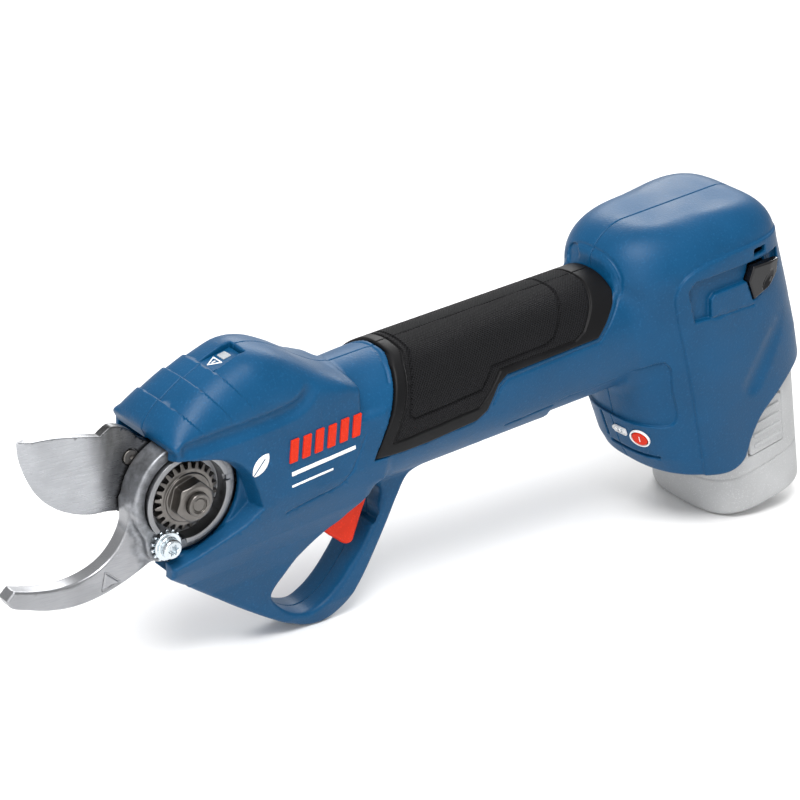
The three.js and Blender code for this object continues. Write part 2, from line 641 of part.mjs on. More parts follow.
// Sector tooth: its root is on the far side (+Y) and it points to -Y, square to the pitch cone.
function sectorTooth(angle) {
  return taperedTooth((scale, rise, side) => {
    const radius = SECTOR_RADIUS * scale + rise * Math.sin(coneSlope);
    const y = PINION_RADIUS * scale - rise * Math.cos(coneSlope);
    const turn = angle + side;
    return [radius * Math.cos(turn), y, radius * Math.sin(turn)];
  }, CONE_INNER, 1, Math.PI / SECTOR_TEETH);
}
function pinionTooth(angle) {
  return taperedTooth((scale, rise, side) => {
    const radius = PINION_RADIUS * scale + rise * Math.cos(coneSlope);
    const x = SECTOR_RADIUS * scale - rise * Math.sin(coneSlope);
    const turn = angle + side;
    return [x, radius * Math.cos(turn), radius * Math.sin(turn)];
  }, CONE_INNER, 1, Math.PI / PINION_TEETH);
}
const SECTOR_LOW = -58;
const SECTOR_HIGH = 6;
const sectorRim = new THREE.LatheGeometry([
  [SECTOR_RADIUS * CONE_INNER - 1, PINION_RADIUS * CONE_INNER + 1.1],
  [SECTOR_RADIUS + 0.6, PINION_RADIUS + 1.9],
  [SECTOR_RADIUS + 0.6, 12.6],
  [SECTOR_RADIUS * CONE_INNER - 1, 12.6],
  [SECTOR_RADIUS * CONE_INNER - 1, PINION_RADIUS * CONE_INNER + 1.1],
].map(flatPoint), 40);
function wedge(low, high, radius) {
  const points = [[0, 0]];
  for (let i = 0; i <= 8; i += 1) {
    const angle = (low + ((high - low) * i) / 8) * DEG;
    points.push([radius * Math.cos(angle), radius * Math.sin(angle)]);
  }
  return points;
}
let sector = solid(sectorRim)
  .add(turnedY([[10, 9.6], [23, 9.6], [23, 12.6], [10, 12.6], [10, 9.6]], 0, 0, 28))
  .intersect(plate(wedge(SECTOR_LOW, SECTOR_HIGH, 60), -10, 30))
  .add(turnedY([[0, 2.3], [14, 2.3], [14, 8.4], [12, 9.6], [12, 12.6], [0, 12.6]], 0, 0, 32));
for (let i = -6; i <= 0; i += 1) {
  sector = sector.add(sectorTooth((i * 360 * DEG) / SECTOR_TEETH));
}
const SECTOR_PINS = [[10.5, -4], [0, -11.5]];
SECTOR_PINS.forEach(([x, z]) => {
  sector = sector.add(rodY(x, z, 1.4, BLADE_NEAR + 0.4, 3, 12));
});
sector = sector.subtract(pivotBore);
add("bevel_sector", sector, gearSteel);

let pinion = turnedX([
  [0, SECTOR_RADIUS * CONE_INNER - 1], [PINION_RADIUS * CONE_INNER - 1.8, SECTOR_RADIUS * CONE_INNER - 1],
  [PINION_RADIUS - 1.6, SECTOR_RADIUS + 0.2], [6.6, SECTOR_RADIUS + 2.2], [4, SECTOR_RADIUS + 2.2],
  [4, 47.4], [0, 47.4],
], 24);
for (let i = 0; i < PINION_TEETH; i += 1) {
  pinion = pinion.add(pinionTooth(((i + 0.5) * 360 * DEG) / PINION_TEETH));
}
add("bevel_pinion", pinion, gearSteel);

// ---- gear frame: carries the pinion's bearing, and the counter blade is screwed to it ----
const frameEars = plate([
  [21.6, 12.8], [30.6, 12.8], [36, 9], [40, 9], [40, 19], [31, 20], [21.6, 20],
], HOOK_FAR + 0.3, 3.4)
  .add(plate([
    [21.6, -12.8], [30.6, -12.8], [36, -9], [40, -9], [40, -19], [31, -20], [21.6, -20],
  ], HOOK_FAR + 0.3, 3.4));
let gearFrame = turnedX([
  [0, 35], [13, 35], [FRAME_OUTER, 38], [FRAME_OUTER, 66.6], [0, 66.6],
], 28)
  .add(frameEars)
  .subtract(turnedX([
    [0, 30], [5.6, 30], [5.6, 35.8], [8.05, 35.8], [8.05, 41.3], [RING_OUTER + 0.15, 43.2],
    [RING_OUTER + 0.15, 65], [10, 65], [10, 80], [0, 80],
  ], 28));
EAR_SCREWS.forEach(([x, z]) => {
  gearFrame = gearFrame.subtract(rodY(x, z, 1.75, -3, 6, 12));
});
add("gear_frame", gearFrame, aluminium);
EAR_SCREWS.forEach(([x, z], i) => {
  add("frame_screw_" + (i + 1), turnedY([
    [0, -10], [2.4, -10], [3, -9.5], [3, -8.1], [1.5, -8.1], [1.5, 2.6], [0, 2.6],
  ], x, z, 16), zincSteel);
});
add("pinion_bearing", solid(new THREE.LatheGeometry([
  [4.05, 36.1], [8, 36.1], [8, 41], [4.05, 41], [4.05, 36.1],
].map(flatPoint), 32).rotateZ(-Math.PI / 2)), brushedSteel);

// ---- planetary stage between motor and pinion ----
function gearOutline(teeth, module, addendum, dedendum, turn, root = 0.29, tip = 0.1) {
  const pitch = (teeth * module) / 2;
  const points = [];
  for (let i = 0; i < teeth; i += 1) {
    const step = (2 * Math.PI) / teeth;
    const angle = turn + i * step;
    [[-root, -dedendum], [-tip, addendum], [tip, addendum], [root, -dedendum]].forEach(([part, rise]) => {
      const radius = pitch + rise * module;
      points.push([radius * Math.cos(angle + part * step), radius * Math.sin(angle + part * step)]);
    });
  }
  return points;
}
// A toothed disc about the X axis at (y, z), from x = low to x = high.
function discX(outline, holes, low, high, y = 0, z = 0) {
  const shape = new THREE.Shape(outline.map(flatPoint));
  holes.forEach((hole) => shape.holes.push(new THREE.Path(hole.map(flatPoint))));
  const geometry = new THREE.ExtrudeGeometry(shape, { depth: high - low, bevelEnabled: false });
  geometry.rotateY(Math.PI / 2);
  geometry.rotateX(Math.PI / 2);
  geometry.translate(low, y, z);
  return solid(geometry);
}
function circle(radius, count) {
  return Array.from({ length: count }, (_, i) => [
    radius * Math.cos((2 * Math.PI * i) / count), radius * Math.sin((2 * Math.PI * i) / count)]);
}
const STAGE_LOW = 52.6;
const STAGE_HIGH = 62.6;
const ORBIT = ((SUN_TEETH + PLANET_TEETH) * PLANET_MODULE) / 2;
const ringTeeth = gearOutline(RING_TEETH, PLANET_MODULE, 1.0, 0.75, Math.PI / RING_TEETH, 0.4, 0.2);
add("ring_gear", discX(circle(RING_OUTER, 42), [ringTeeth], STAGE_LOW, STAGE_HIGH), gearSteel);
const SHAFT_RADIUS = 1.6;
add("sun_gear", discX(gearOutline(SUN_TEETH, PLANET_MODULE, 0.75, 0.95, Math.PI / SUN_TEETH),
  [circle(SHAFT_RADIUS + 0.3, 12)],
  STAGE_LOW + 0.4, STAGE_HIGH), gearSteel);
const planetCentres = [0, 1, 2].map((i) => {
  const angle = (i * 2 * Math.PI) / 3;
  return [ORBIT * Math.cos(angle), ORBIT * Math.sin(angle), angle];
});
planetCentres.forEach(([y, z, angle], i) => {
  add("planet_gear_" + (i + 1), discX(gearOutline(PLANET_TEETH, PLANET_MODULE, 0.75, 0.95, angle + Math.PI),
    [circle(1.6, 12)], STAGE_LOW + 0.4, STAGE_HIGH - 0.4, y, z), gearSteel);
});
let carrier = turnedX([
  [0, 43.2], [5.6, 43.2], [5.6, 48], [12.6, 48], [12.6, 52.2], [0, 52.2],
], 32).subtract(rodX(4.3, 40, 47.7, 24));
planetCentres.forEach(([y, z]) => {
  carrier = carrier.add(rodX(1.45, 51, STAGE_HIGH - 0.6, 14).translate([0, y, z]));
});
add("planet_carrier", carrier, gearSteel);

// ---- motor ----
const MOTOR_END = MOTOR_START + MOTOR_LENGTH;
add("motor_can", turnedX([
  [2.6, MOTOR_START], [MOTOR_RADIUS, MOTOR_START], [MOTOR_RADIUS, MOTOR_END],
  [MOTOR_RADIUS - 1.2, MOTOR_END], [MOTOR_RADIUS - 1.2, MOTOR_START + 1.4],
  [2.6, MOTOR_START + 1.4], [2.6, MOTOR_START],
], 28), gearSteel);
add("motor_rotor", turnedX([
  [0, STAGE_LOW + 1], [SHAFT_RADIUS, STAGE_LOW + 1], [SHAFT_RADIUS, MOTOR_START + 5],
  [9.5, MOTOR_START + 7], [9.5, MOTOR_START + 30], [5, MOTOR_START + 33], [5, MOTOR_END - 6],
  [SHAFT_RADIUS, MOTOR_END - 5], [SHAFT_RADIUS, MOTOR_END + 3.4], [0, MOTOR_END + 3.4],
], 24), copper);
add("motor_magnet", turnedX([
  [10.2, MOTOR_START + 6], [MOTOR_RADIUS - 1.5, MOTOR_START + 6], [MOTOR_RADIUS - 1.5, MOTOR_START + 34],
  [10.2, MOTOR_START + 34], [10.2, MOTOR_START + 6],
], 28), darkSteel);
add("motor_end_cap", turnedX([
  [SHAFT_RADIUS + 0.3, MOTOR_END - 3], [MOTOR_RADIUS - 1.5, MOTOR_END - 3],
  [MOTOR_RADIUS - 1.5, MOTOR_END + 0.3], [MOTOR_RADIUS, MOTOR_END + 0.3], [MOTOR_RADIUS, MOTOR_END + 2],
  [SHAFT_RADIUS + 0.3, MOTOR_END + 2], [SHAFT_RADIUS + 0.3, MOTOR_END - 3],
], 28), blackPlastic);

// ---- electronics ----
const boardZ = handleCentre(148);
let board = box(126, 168, -14, 14, boardZ - 0.8, boardZ + 0.8);
[[132, -7], [132, 7], [146, 0], [158, -8]].forEach(([x, y]) => {
  board = board.add(box(x - 3, x + 3, y - 3, y + 3, boardZ + 0.5, boardZ + 3.4));
});
board = board.add(turnedX([[0, -5], [4, -5], [4, 5], [0, 5]], 16)
  .rotate([0, 90, 0]).translate([158, 7, boardZ + 5]));
add("controller_board", board, boardGreen);
function lead(points) {
  const path = new THREE.CatmullRomCurve3(points.map((p) => new THREE.Vector3(...p)));
  const shape = new THREE.Shape(circle(1.1, 6).map(flatPoint));
  return solid(new THREE.ExtrudeGeometry(shape, { steps: 7, extrudePath: path, bevelEnabled: false }));
}
add("motor_lead_1", lead([[118.6, 8, 1], [121, 8, 0.5], [123, 8.5, -1.5], [125.2, 9, -3.2]]), redPlastic);
add("motor_lead_2", lead([[118.6, -8, 1], [121, -8, 0.5], [123, -8.5, -1.5], [125.2, -9, -3.2]]), blackPlastic);
add("battery_lead_1", lead([[168.4, 8, boardZ], [180, 9, -2], [200, 11, 4], [216, 9, 9], [225.6, 8, 10]]),
  redPlastic);
add("battery_lead_2", lead([[168.4, -8, boardZ], [180, -9, -2], [200, -11, 4], [216, -9, 9], [225.6, -8, 10]]),
  blackPlastic);

// ---- trigger, pin, spring and switch ----
const TRIGGER_SIDE = smoothOutline([
  [53, -30], [54.5, -35], [58, -39.5], [62, -43.4], [65.4, -46.4], [68, -46.4], [70, -42.6],
  [72.2, -36.6], [73.8, -31.6], [72, -28], [66, -25.6], [61.5, -22], [57.5, -20.9], [53.6, -23.4],
], 20);
const trigger = plate(TRIGGER_SIDE, -TRIGGER_HALF_WIDTH, TRIGGER_HALF_WIDTH)
  .subtract(plate([[65, -24], [76, -24], [72.4, -33], [70.4, -38], [65, -34]], -4, 4))
  .subtract(rodY(TRIGGER_PIN[0], TRIGGER_PIN[1], 4.6, -3.4, 3.4, 16))
  .subtract(rodY(TRIGGER_PIN[0], TRIGGER_PIN[1], PIN_RADIUS + 0.06, -10, 10, 20));
add("trigger", trigger, redPlastic);
add("trigger_pin", rodY(TRIGGER_PIN[0], TRIGGER_PIN[1], PIN_RADIUS, -PIN_HALF_LENGTH, PIN_HALF_LENGTH, 20),
  zincSteel);
class Coil extends THREE.Curve {
  getPoint(t, target = new THREE.Vector3()) {
    const angle = t * 2 * Math.PI * 3.5;
    return target.set(TRIGGER_PIN[0] + 3 * Math.cos(angle), -2.4 + 4.8 * t, TRIGGER_PIN[1] + 3 * Math.sin(angle));
  }
}
const wire = new THREE.Shape(circle(0.4, 6).map(flatPoint));
add("trigger_spring", solid(new THREE.ExtrudeGeometry(wire,
  { steps: 36, extrudePath: new Coil(), bevelEnabled: false })), zincSteel);
add("trigger_switch", box(64, 82, -5, 5, -21.6, -16.6).add(box(69, 71.5, -1.5, 1.5, -22.2, -21)), blackPlastic);

// ---- panel pieces ----
add("power_button", panelDisc(3.2, -3.4, 0.6), redPlastic);
add("panel_board", ontoWall(box(-7, 7, -7, 7, -8.8, -7.4), BUTTON_AT, BUTTON_OUT), boardGreen);
add("gauge_window", ontoWall(box(-1.8, 1.8, -2.4, 2.4, -2, 0.2), GAUGE_AT, GAUGE_OUT), clearLens);
const panelTop = plate([[17, 36.9], [31, 36.9], [31, 40.2], [24, 38.9], [17, 37.8]], -6.5, 6.5)
  .subtract(box(24.7, 29.3, -2.3, 2.3, 38, 50));
add("indicator_panel", panelTop, bluePlastic);
add("status_light", box(25, 29, -2, 2, 38.3, 39.6), clearLens);
add("key_clip", plate(CLIP_SIDE, -30.4, -26.5), blackPlastic);

// ---- battery dock, battery pack ----
const DOCK_LEVEL = 88;
let dock = alongBattery(box(-14, 12, -16, 16, DOCK_LEVEL, DOCK_LEVEL + 6));
dock = dock.subtract(alongBattery(box(-3, 3, -11.6, -8.4, DOCK_LEVEL - 1, DOCK_LEVEL + 8)))
  .subtract(alongBattery(box(-3, 3, 8.4, 11.6, DOCK_LEVEL - 1, DOCK_LEVEL + 8)));
add("battery_dock", dock, blackPlastic);
add("dock_contact_1", alongBattery(box(-2.6, 2.6, -10.6, -9.4, DOCK_LEVEL - 5, DOCK_LEVEL + 7)), copper);
add("dock_contact_2", alongBattery(box(-2.6, 2.6, 9.4, 10.6, DOCK_LEVEL - 5, DOCK_LEVEL + 7)), copper);

const CASE_TOP = 80;
const CELL_CIRCLE = 10.9;
const cellCentres = [270, 30, 150].map((angle) => [
  CELL_CIRCLE * Math.sin(angle * DEG), CELL_CIRCLE * Math.cos(angle * DEG),
]);
let caseHollow = alongBattery(box(-9, 9, -10, 10, 8, CASE_TOP + 5));
cellCentres.forEach(([x, y]) => {
  const round = new THREE.CylinderGeometry(CELL_RADIUS + GAP, CELL_RADIUS + GAP, 80, 24);
  round.rotateX(Math.PI / 2);
  round.translate(x, y, 8 + 40);
  caseHollow = caseHollow.add(alongBattery(solid(round)));
});
const RELEASE_Z = 36;
function releaseSeat(side) {
  return alongBattery(side < 0
    ? box(-9.3, 8.3, -40, -22.9, RELEASE_Z - 11.3, RELEASE_Z + 10.3)
    : box(-9.3, 8.3, 22.9, 40, RELEASE_Z - 11.3, RELEASE_Z + 10.3));
}
const batteryCase = batteryForm([
  [0, BATTERY_HALF_DEPTH - 2.6, BATTERY_HALF_WIDTH - 2.6], [1, BATTERY_HALF_DEPTH - 1, BATTERY_HALF_WIDTH - 1],
  [3, BATTERY_HALF_DEPTH, BATTERY_HALF_WIDTH], [SHOULDER - 2, BATTERY_HALF_DEPTH, BATTERY_HALF_WIDTH],
  [SHOULDER, BATTERY_HALF_DEPTH - 2, BATTERY_HALF_WIDTH - 2],
])
  .add(batteryForm([
    [SHOULDER - 5, STEM_HALF_DEPTH, STEM_HALF_WIDTH], [CASE_TOP, STEM_HALF_DEPTH, STEM_HALF_WIDTH],
  ], STEM_FORWARD))
  .subtract(caseHollow)
  .subtract(releaseSeat(-1))
  .subtract(releaseSeat(1));
add("battery_case", batteryCase, greyPlastic);
add("battery_cap", batteryForm([
  [CASE_TOP + GAP, STEM_HALF_DEPTH, STEM_HALF_WIDTH], [CASE_TOP + 6.4, STEM_HALF_DEPTH, STEM_HALF_WIDTH],
  [CASE_TOP + 7.4, STEM_HALF_DEPTH - 1, STEM_HALF_WIDTH - 1],
], STEM_FORWARD)
  .subtract(alongBattery(box(-3.2, 3.2, -11.4, -8.6, CASE_TOP - 5, CASE_TOP + 20)))
  .subtract(alongBattery(box(-3.2, 3.2, 8.6, 11.4, CASE_TOP - 5, CASE_TOP + 20))), greyPlastic);
cellCentres.forEach(([x, y], i) => {
  const round = new THREE.CylinderGeometry(CELL_RADIUS, CELL_RADIUS, CELL_LENGTH, 24);
  round.rotateX(Math.PI / 2);
  round.translate(x, y, 8.4 + CELL_LENGTH / 2);
  add("battery_cell_" + (i + 1), alongBattery(solid(round)), cellWrap);
});
[["left", -1], ["right", 1]].forEach(([word, side]) => {
  const inner = side * (BATTERY_HALF_WIDTH - 1.8);
  const outer = side * (BATTERY_HALF_WIDTH + 0.1);
  let button = box(-9, 8, Math.min(inner, outer), Math.max(inner, outer), RELEASE_Z - 11, RELEASE_Z + 10);
  for (let i = 0; i < 4; i += 1) {
    const z = RELEASE_Z - 8 + i * 4.4;
    const ribOut = side * (BATTERY_HALF_WIDTH + 0.8);
    button = button.add(box(-7, 6.5, Math.min(inner, ribOut), Math.max(inner, ribOut), z, z + 1.6));
  }
  add("release_button_" + word, alongBattery(button), greyPlastic);
});

// ---- stand the tool on its guard and battery, with the origin under its middle ----
const standing = new THREE.Group();
standing.rotation.y = -STANDING_PITCH * DEG;
standing.add(tool);
const part = new THREE.Group();
part.add(standing);
part.updateMatrixWorld(true);
const extent = new THREE.Box3().setFromObject(part, true);
standing.position.set(
  -(extent.min.x + extent.max.x) / 2, -(extent.min.y + extent.max.y) / 2, -extent.min.z,
);
part.updateMatrixWorld(true);

export default part;
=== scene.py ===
"""Battery electric pruner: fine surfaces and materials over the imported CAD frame.

Shapes are carved as distance fields in the handle frame, in millimetres: the blade pivot is
the origin, X runs back along the handle, Y across the tool (the nut side is -Y) and Z up.
Each field is turned into a mesh and set down in the row frame with the joints of the record.
"""
import bpy
import json
import math
import numpy as np
import openvdb
from mathutils import Matrix, Vector


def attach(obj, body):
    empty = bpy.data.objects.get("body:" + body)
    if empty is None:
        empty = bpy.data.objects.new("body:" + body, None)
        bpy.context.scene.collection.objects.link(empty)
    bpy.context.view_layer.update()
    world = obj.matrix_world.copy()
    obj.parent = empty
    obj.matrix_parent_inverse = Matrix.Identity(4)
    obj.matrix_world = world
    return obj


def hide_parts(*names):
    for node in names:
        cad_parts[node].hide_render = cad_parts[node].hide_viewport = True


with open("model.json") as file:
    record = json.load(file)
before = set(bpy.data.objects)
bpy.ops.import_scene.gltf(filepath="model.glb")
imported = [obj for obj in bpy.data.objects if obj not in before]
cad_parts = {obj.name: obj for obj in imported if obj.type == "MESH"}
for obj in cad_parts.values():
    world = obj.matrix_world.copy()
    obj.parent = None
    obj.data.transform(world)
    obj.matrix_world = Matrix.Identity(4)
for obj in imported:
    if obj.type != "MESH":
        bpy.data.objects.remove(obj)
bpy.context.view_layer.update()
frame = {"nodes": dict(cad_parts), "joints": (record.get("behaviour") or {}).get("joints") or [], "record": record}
JOINTS = {joint["name"]: joint for joint in frame["joints"]}
PIVOT = Vector(JOINTS["blade_pivot"]["pos_m"])
ALONG = Vector(JOINTS["pinion_spin"]["axis"]).normalized()
ACROSS = Vector((0, 1, 0))
UPWARD = ALONG.cross(ACROSS)
HANDLE = Matrix((ALONG, ACROSS, UPWARD)).transposed().to_4x4()
HANDLE.translation = PIVOT
MILLI = Matrix.Scale(0.001, 4)

# ---- driving dimensions, millimetres and degrees, as in the CAD ----
WALL = 2.6
PARTING = 0.02
HEAD_HALF_WIDTH = 19.5
HANDLE_HALF_WIDTH = 21
HANDLE_HALF_HEIGHT = 24.2
HANDLE_SLOPE = -0.019
HANDLE_LEVEL = -2.3
HANDLE_LEVEL_AT = 83
GRIP_PROUD = 0.8
GRIP_DEPTH = 1.3
PANEL_PROUD = 1.1
HOUSING_TOP = 34.8
HOUSING_CROWN = 13
HOUSING_BROW = 6
BATTERY_LEAN = 6.4
BATTERY_FOOT = (250.5, 0, -91)
BATTERY_HALF_WIDTH = 26
BATTERY_HALF_DEPTH = 24
SHOULDER = 57
STEM_HALF_DEPTH = 19.6
STEM_HALF_WIDTH = 20.6
STEM_FORWARD = -2
BAY_ROOM = 1.3
CASE_TOP = 80
KNURL_PITCH = 1.15
BLADE_FACES = (-1.5, 2.0)
BEVEL_WIDTH = 4.5
HOOK_FACES = (-7.8, -1.8)
BOSS_FACES = (-11.5, -1.8)
BOLT_HOLE_RADIUS = 4.05
BOSS_ROOM_RADIUS = 20.0
LOCK_ROOM_RADIUS = 7.2
SECTOR_ROOM_RADIUS = 32.5
SCREW_HOLE_RADIUS = 3.1
SCREW_BOSS_RADIUS = 3.7
BUTTON_HOLE_RADIUS = 3.5
RIVET_AT = (-13.4, 15)
LOCK_AT = (-9.6, -14.4)
LOCK_ANGLE = math.atan2(LOCK_AT[1], LOCK_AT[0])
TRIGGER_PIN = (57.5, -24.8)
TRIGGER_HALF_WIDTH = 7
BUTTON_AT = (195.2, -12.6, -49.2)
BUTTON_OUT = (-0.87, -0.33, -0.36)
GAUGE_AT = (193.4, -3.6, -48.6)
GAUGE_OUT = (-0.93, -0.06, -0.36)
HOUSING_SCREWS = ((43, 25.5, 18.2), (21, -42, 10.6), (100, -19.4, 15.4), (166, -17.8, 16.2),
                  (226, 24, 27.2), (199.5, -30, 26.5))


# ---- distance fields ----
class Block:
    """A box of voxels, with its coordinates as arrays that broadcast against each other."""

    def __init__(self, low, high, voxel):
        self.low = np.array(low, float)
        self.voxel = voxel
        counts = [int(math.ceil((h - l) / voxel)) + 1 for l, h in zip(low, high)]
        lines = [(l + voxel * np.arange(n)).astype(np.float32) for l, n in zip(low, counts)]
        self.shape = tuple(counts)
        self.x = lines[0][:, None, None]
        self.y = lines[1][None, :, None]
        self.z = lines[2][None, None, :]


def both(a, b, radius=0.0):
    """The common part of two forms, with its new edge rounded."""
    if np.ndim(radius) == 0 and radius == 0:
        return np.maximum(a, b)
    corner = np.hypot(np.maximum(a + radius, 0), np.maximum(b + radius, 0))
    return np.minimum(np.maximum(a, b), -radius) + corner


def joined(a, b, radius=0.0):
    """Two forms as one, with a fillet between them."""
    return -both(-a, -b, radius)


def without(a, b, radius=0.0):
    """The first form with the second cut out of it."""
    return both(a, -b, radius)


def slab(line, low, high):
    return np.maximum(low - line, line - high)


def smooth(points, closed=True, per=8):
    """A centripetal Catmull-Rom curve through the points."""
    points = [np.array(p, float) for p in points]
    if closed:
        ring = [points[-1]] + points + points[:2]
    else:
        ring = [2 * points[0] - points[1]] + points + [2 * points[-1] - points[-2]]
    made = []
    for a, b, c, d in zip(ring, ring[1:], ring[2:], ring[3:]):
        ta = 0.0
        tb = ta + math.sqrt(np.linalg.norm(b - a))
        tc = tb + math.sqrt(np.linalg.norm(c - b))
        td = tc + math.sqrt(np.linalg.norm(d - c))
        for t in np.linspace(tb, tc, per, endpoint=False):
            ab = ((tb - t) * a + (t - ta) * b) / (tb - ta)
            bc = ((tc - t) * b + (t - tb) * c) / (tc - tb)
            cd = ((td - t) * c + (t - tc) * d) / (td - tc)
            abc = ((tc - t) * ab + (t - ta) * bc) / (tc - ta)
            bcd = ((td - t) * bc + (t - tb) * cd) / (td - tb)
            made.append(tuple(((tc - t) * abc + (t - tb) * bcd) / (tc - tb)))
    if not closed:
        made.append(tuple(points[-1]))
    return made


def edge_distance(u, v, start, end):
    du = end[0] - start[0]
    dv = end[1] - start[1]
    along = ((u - start[0]) * du + (v - start[1]) * dv) / (du * du + dv * dv)
    along = np.clip(along, 0, 1)
    return np.hypot(u - start[0] - along * du, v - start[1] - along * dv)


def outline(u, v, points):
    """Distance to a closed outline in the plane of u and v, negative inside it."""
    best = None
    crossings = None
    for start, end in zip(points, points[1:] + points[:1]):
        if start == end:
            continue
        gap = edge_distance(u, v, start, end)
        best = gap if best is None else np.minimum(best, gap)
        rise = end[1] - start[1]
        if rise == 0:
            continue
        spans = (start[1] <= v) != (end[1] <= v)
        side = u < start[0] + (v - start[1]) * (end[0] - start[0]) / rise
        hit = spans & side
        crossings = hit if crossings is None else crossings ^ hit
    return np.where(crossings, -best, best).astype(np.float32)


def path(u, v, points):
    """Distance to an open line through the points in the plane of u and v."""
    gaps = [edge_distance(u, v, start, end) for start, end in zip(points, points[1:])]
    return np.minimum.reduce(gaps).astype(np.float32)


def oblong(u, v, half_u, half_v, squareness):
    """Distance to a rounded oblong tube, measured out from its middle."""
    size = (np.abs(u / half_u) ** squareness + np.abs(v / half_v) ** squareness)
    size = np.maximum(size, 1e-6) ** (1 / squareness)
    return np.hypot(u, v) * (1 - 1 / size)


def between(value, low, high):
    """0 below low, 1 above high, and a smooth step in between."""
    t = np.clip((value - low) / (high - low), 0, 1)
    return t * t * (3 - 2 * t)


# ---- from field to mesh ----
def sampled(field, where):
    """The field's values at points given in voxels."""
    top = np.array(field.shape) - 2
    base = np.clip(np.floor(where).astype(int), 0, top)
    part = where - base
    total = 0
    for dx in (0, 1):
        for dy in (0, 1):
            for dz in (0, 1):
                weight = (abs(1 - dx - part[:, 0]) * abs(1 - dy - part[:, 1])
                          * abs(1 - dz - part[:, 2]))
                total = total + weight * field[base[:, 0] + dx, base[:, 1] + dy, base[:, 2] + dz]
    return total


def carved(name, block, field, look, place=None, mirrored=False, merge=0.0):
    """A mesh of the field's surface, shaded with the field's own slope."""
    reach = 3 * block.voxel
    solid = np.clip(np.broadcast_to(field, block.shape), -reach, reach).astype(np.float32)
    grid = openvdb.FloatGrid(reach)
    grid.copyFromArray(solid)
    points, triangles, quads = grid.convertToPolygons(0.0, merge)
    slope = np.stack([
        sampled(solid, points + step) - sampled(solid, points - step)
        for step in 0.6 * np.eye(3)], axis=1)
    slope /= np.maximum(np.linalg.norm(slope, axis=1, keepdims=True), 1e-9)
    points = points * block.voxel + block.low
    if mirrored:
        points = points * (1, -1, 1)
        slope = slope * (1, -1, 1)
    handle_points = points
    turn = HANDLE @ MILLI
    if place is not None:
        handle_points = points @ np.array(place.to_3x3()).T + np.array(place.translation)
        turn = turn @ place
        slope = slope @ np.array(place.to_3x3()).T
    spin = np.array(HANDLE.to_3x3())
    row_points = points @ np.array(turn.to_3x3()).T + np.array(turn.translation)
    row_slope = slope @ spin.T
    mesh = bpy.data.meshes.new(name)
    corners = np.concatenate([quads.ravel(), triangles.ravel()]).astype(np.int32)
    sizes = np.concatenate([np.full(len(quads), 4), np.full(len(triangles), 3)])
    starts = np.concatenate([[0], np.cumsum(sizes)[:-1]]).astype(np.int32)
    first = corners[:3]
    a, b, c = row_points[first]
    outward = np.cross(b - a, c - a) @ row_slope[first].sum(0) > 0
    if not outward:
        corners = np.concatenate([quads[:, ::-1].ravel(), triangles[:, ::-1].ravel()])
    mesh.vertices.add(len(row_points))
    mesh.vertices.foreach_set("co", row_points.astype(np.float32).ravel())
    mesh.loops.add(len(corners))
    mesh.loops.foreach_set("vertex_index", corners.astype(np.int32))
    mesh.polygons.add(len(starts))
    mesh.polygons.foreach_set("loop_start", starts)
    mesh.update(calc_edges=True)
    mesh.polygons.foreach_set("use_smooth", np.ones(len(starts), bool))
    mesh.normals_split_custom_set_from_vertices(row_slope.astype(float).tolist())
    piece = bpy.data.objects.new(name, mesh)
    bpy.context.scene.collection.objects.link(piece)
    mesh.materials.append(look)
    return piece, handle_points


def painted(piece, name, values):
    """Stores one number for each vertex, which a material reads."""
    layer = piece.data.attributes.new(name, "FLOAT", "POINT")
    layer.data.foreach_set("value", np.asarray(values, np.float32))


def rides(piece, body, slot, *nodes):
    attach(piece, body)
    if nodes:
        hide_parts(*nodes)


def fitted(name, block, field, look, fitting, place=None, mirrored=False, merge=0.0):
    """Carves a piece, attaches it to its body and hides the nodes it stands for; the slot in its fitting is not
    used.
    """
    piece, _ = carved(name, block, field, look.material, place, mirrored, merge)
    rides(piece, *fitting)


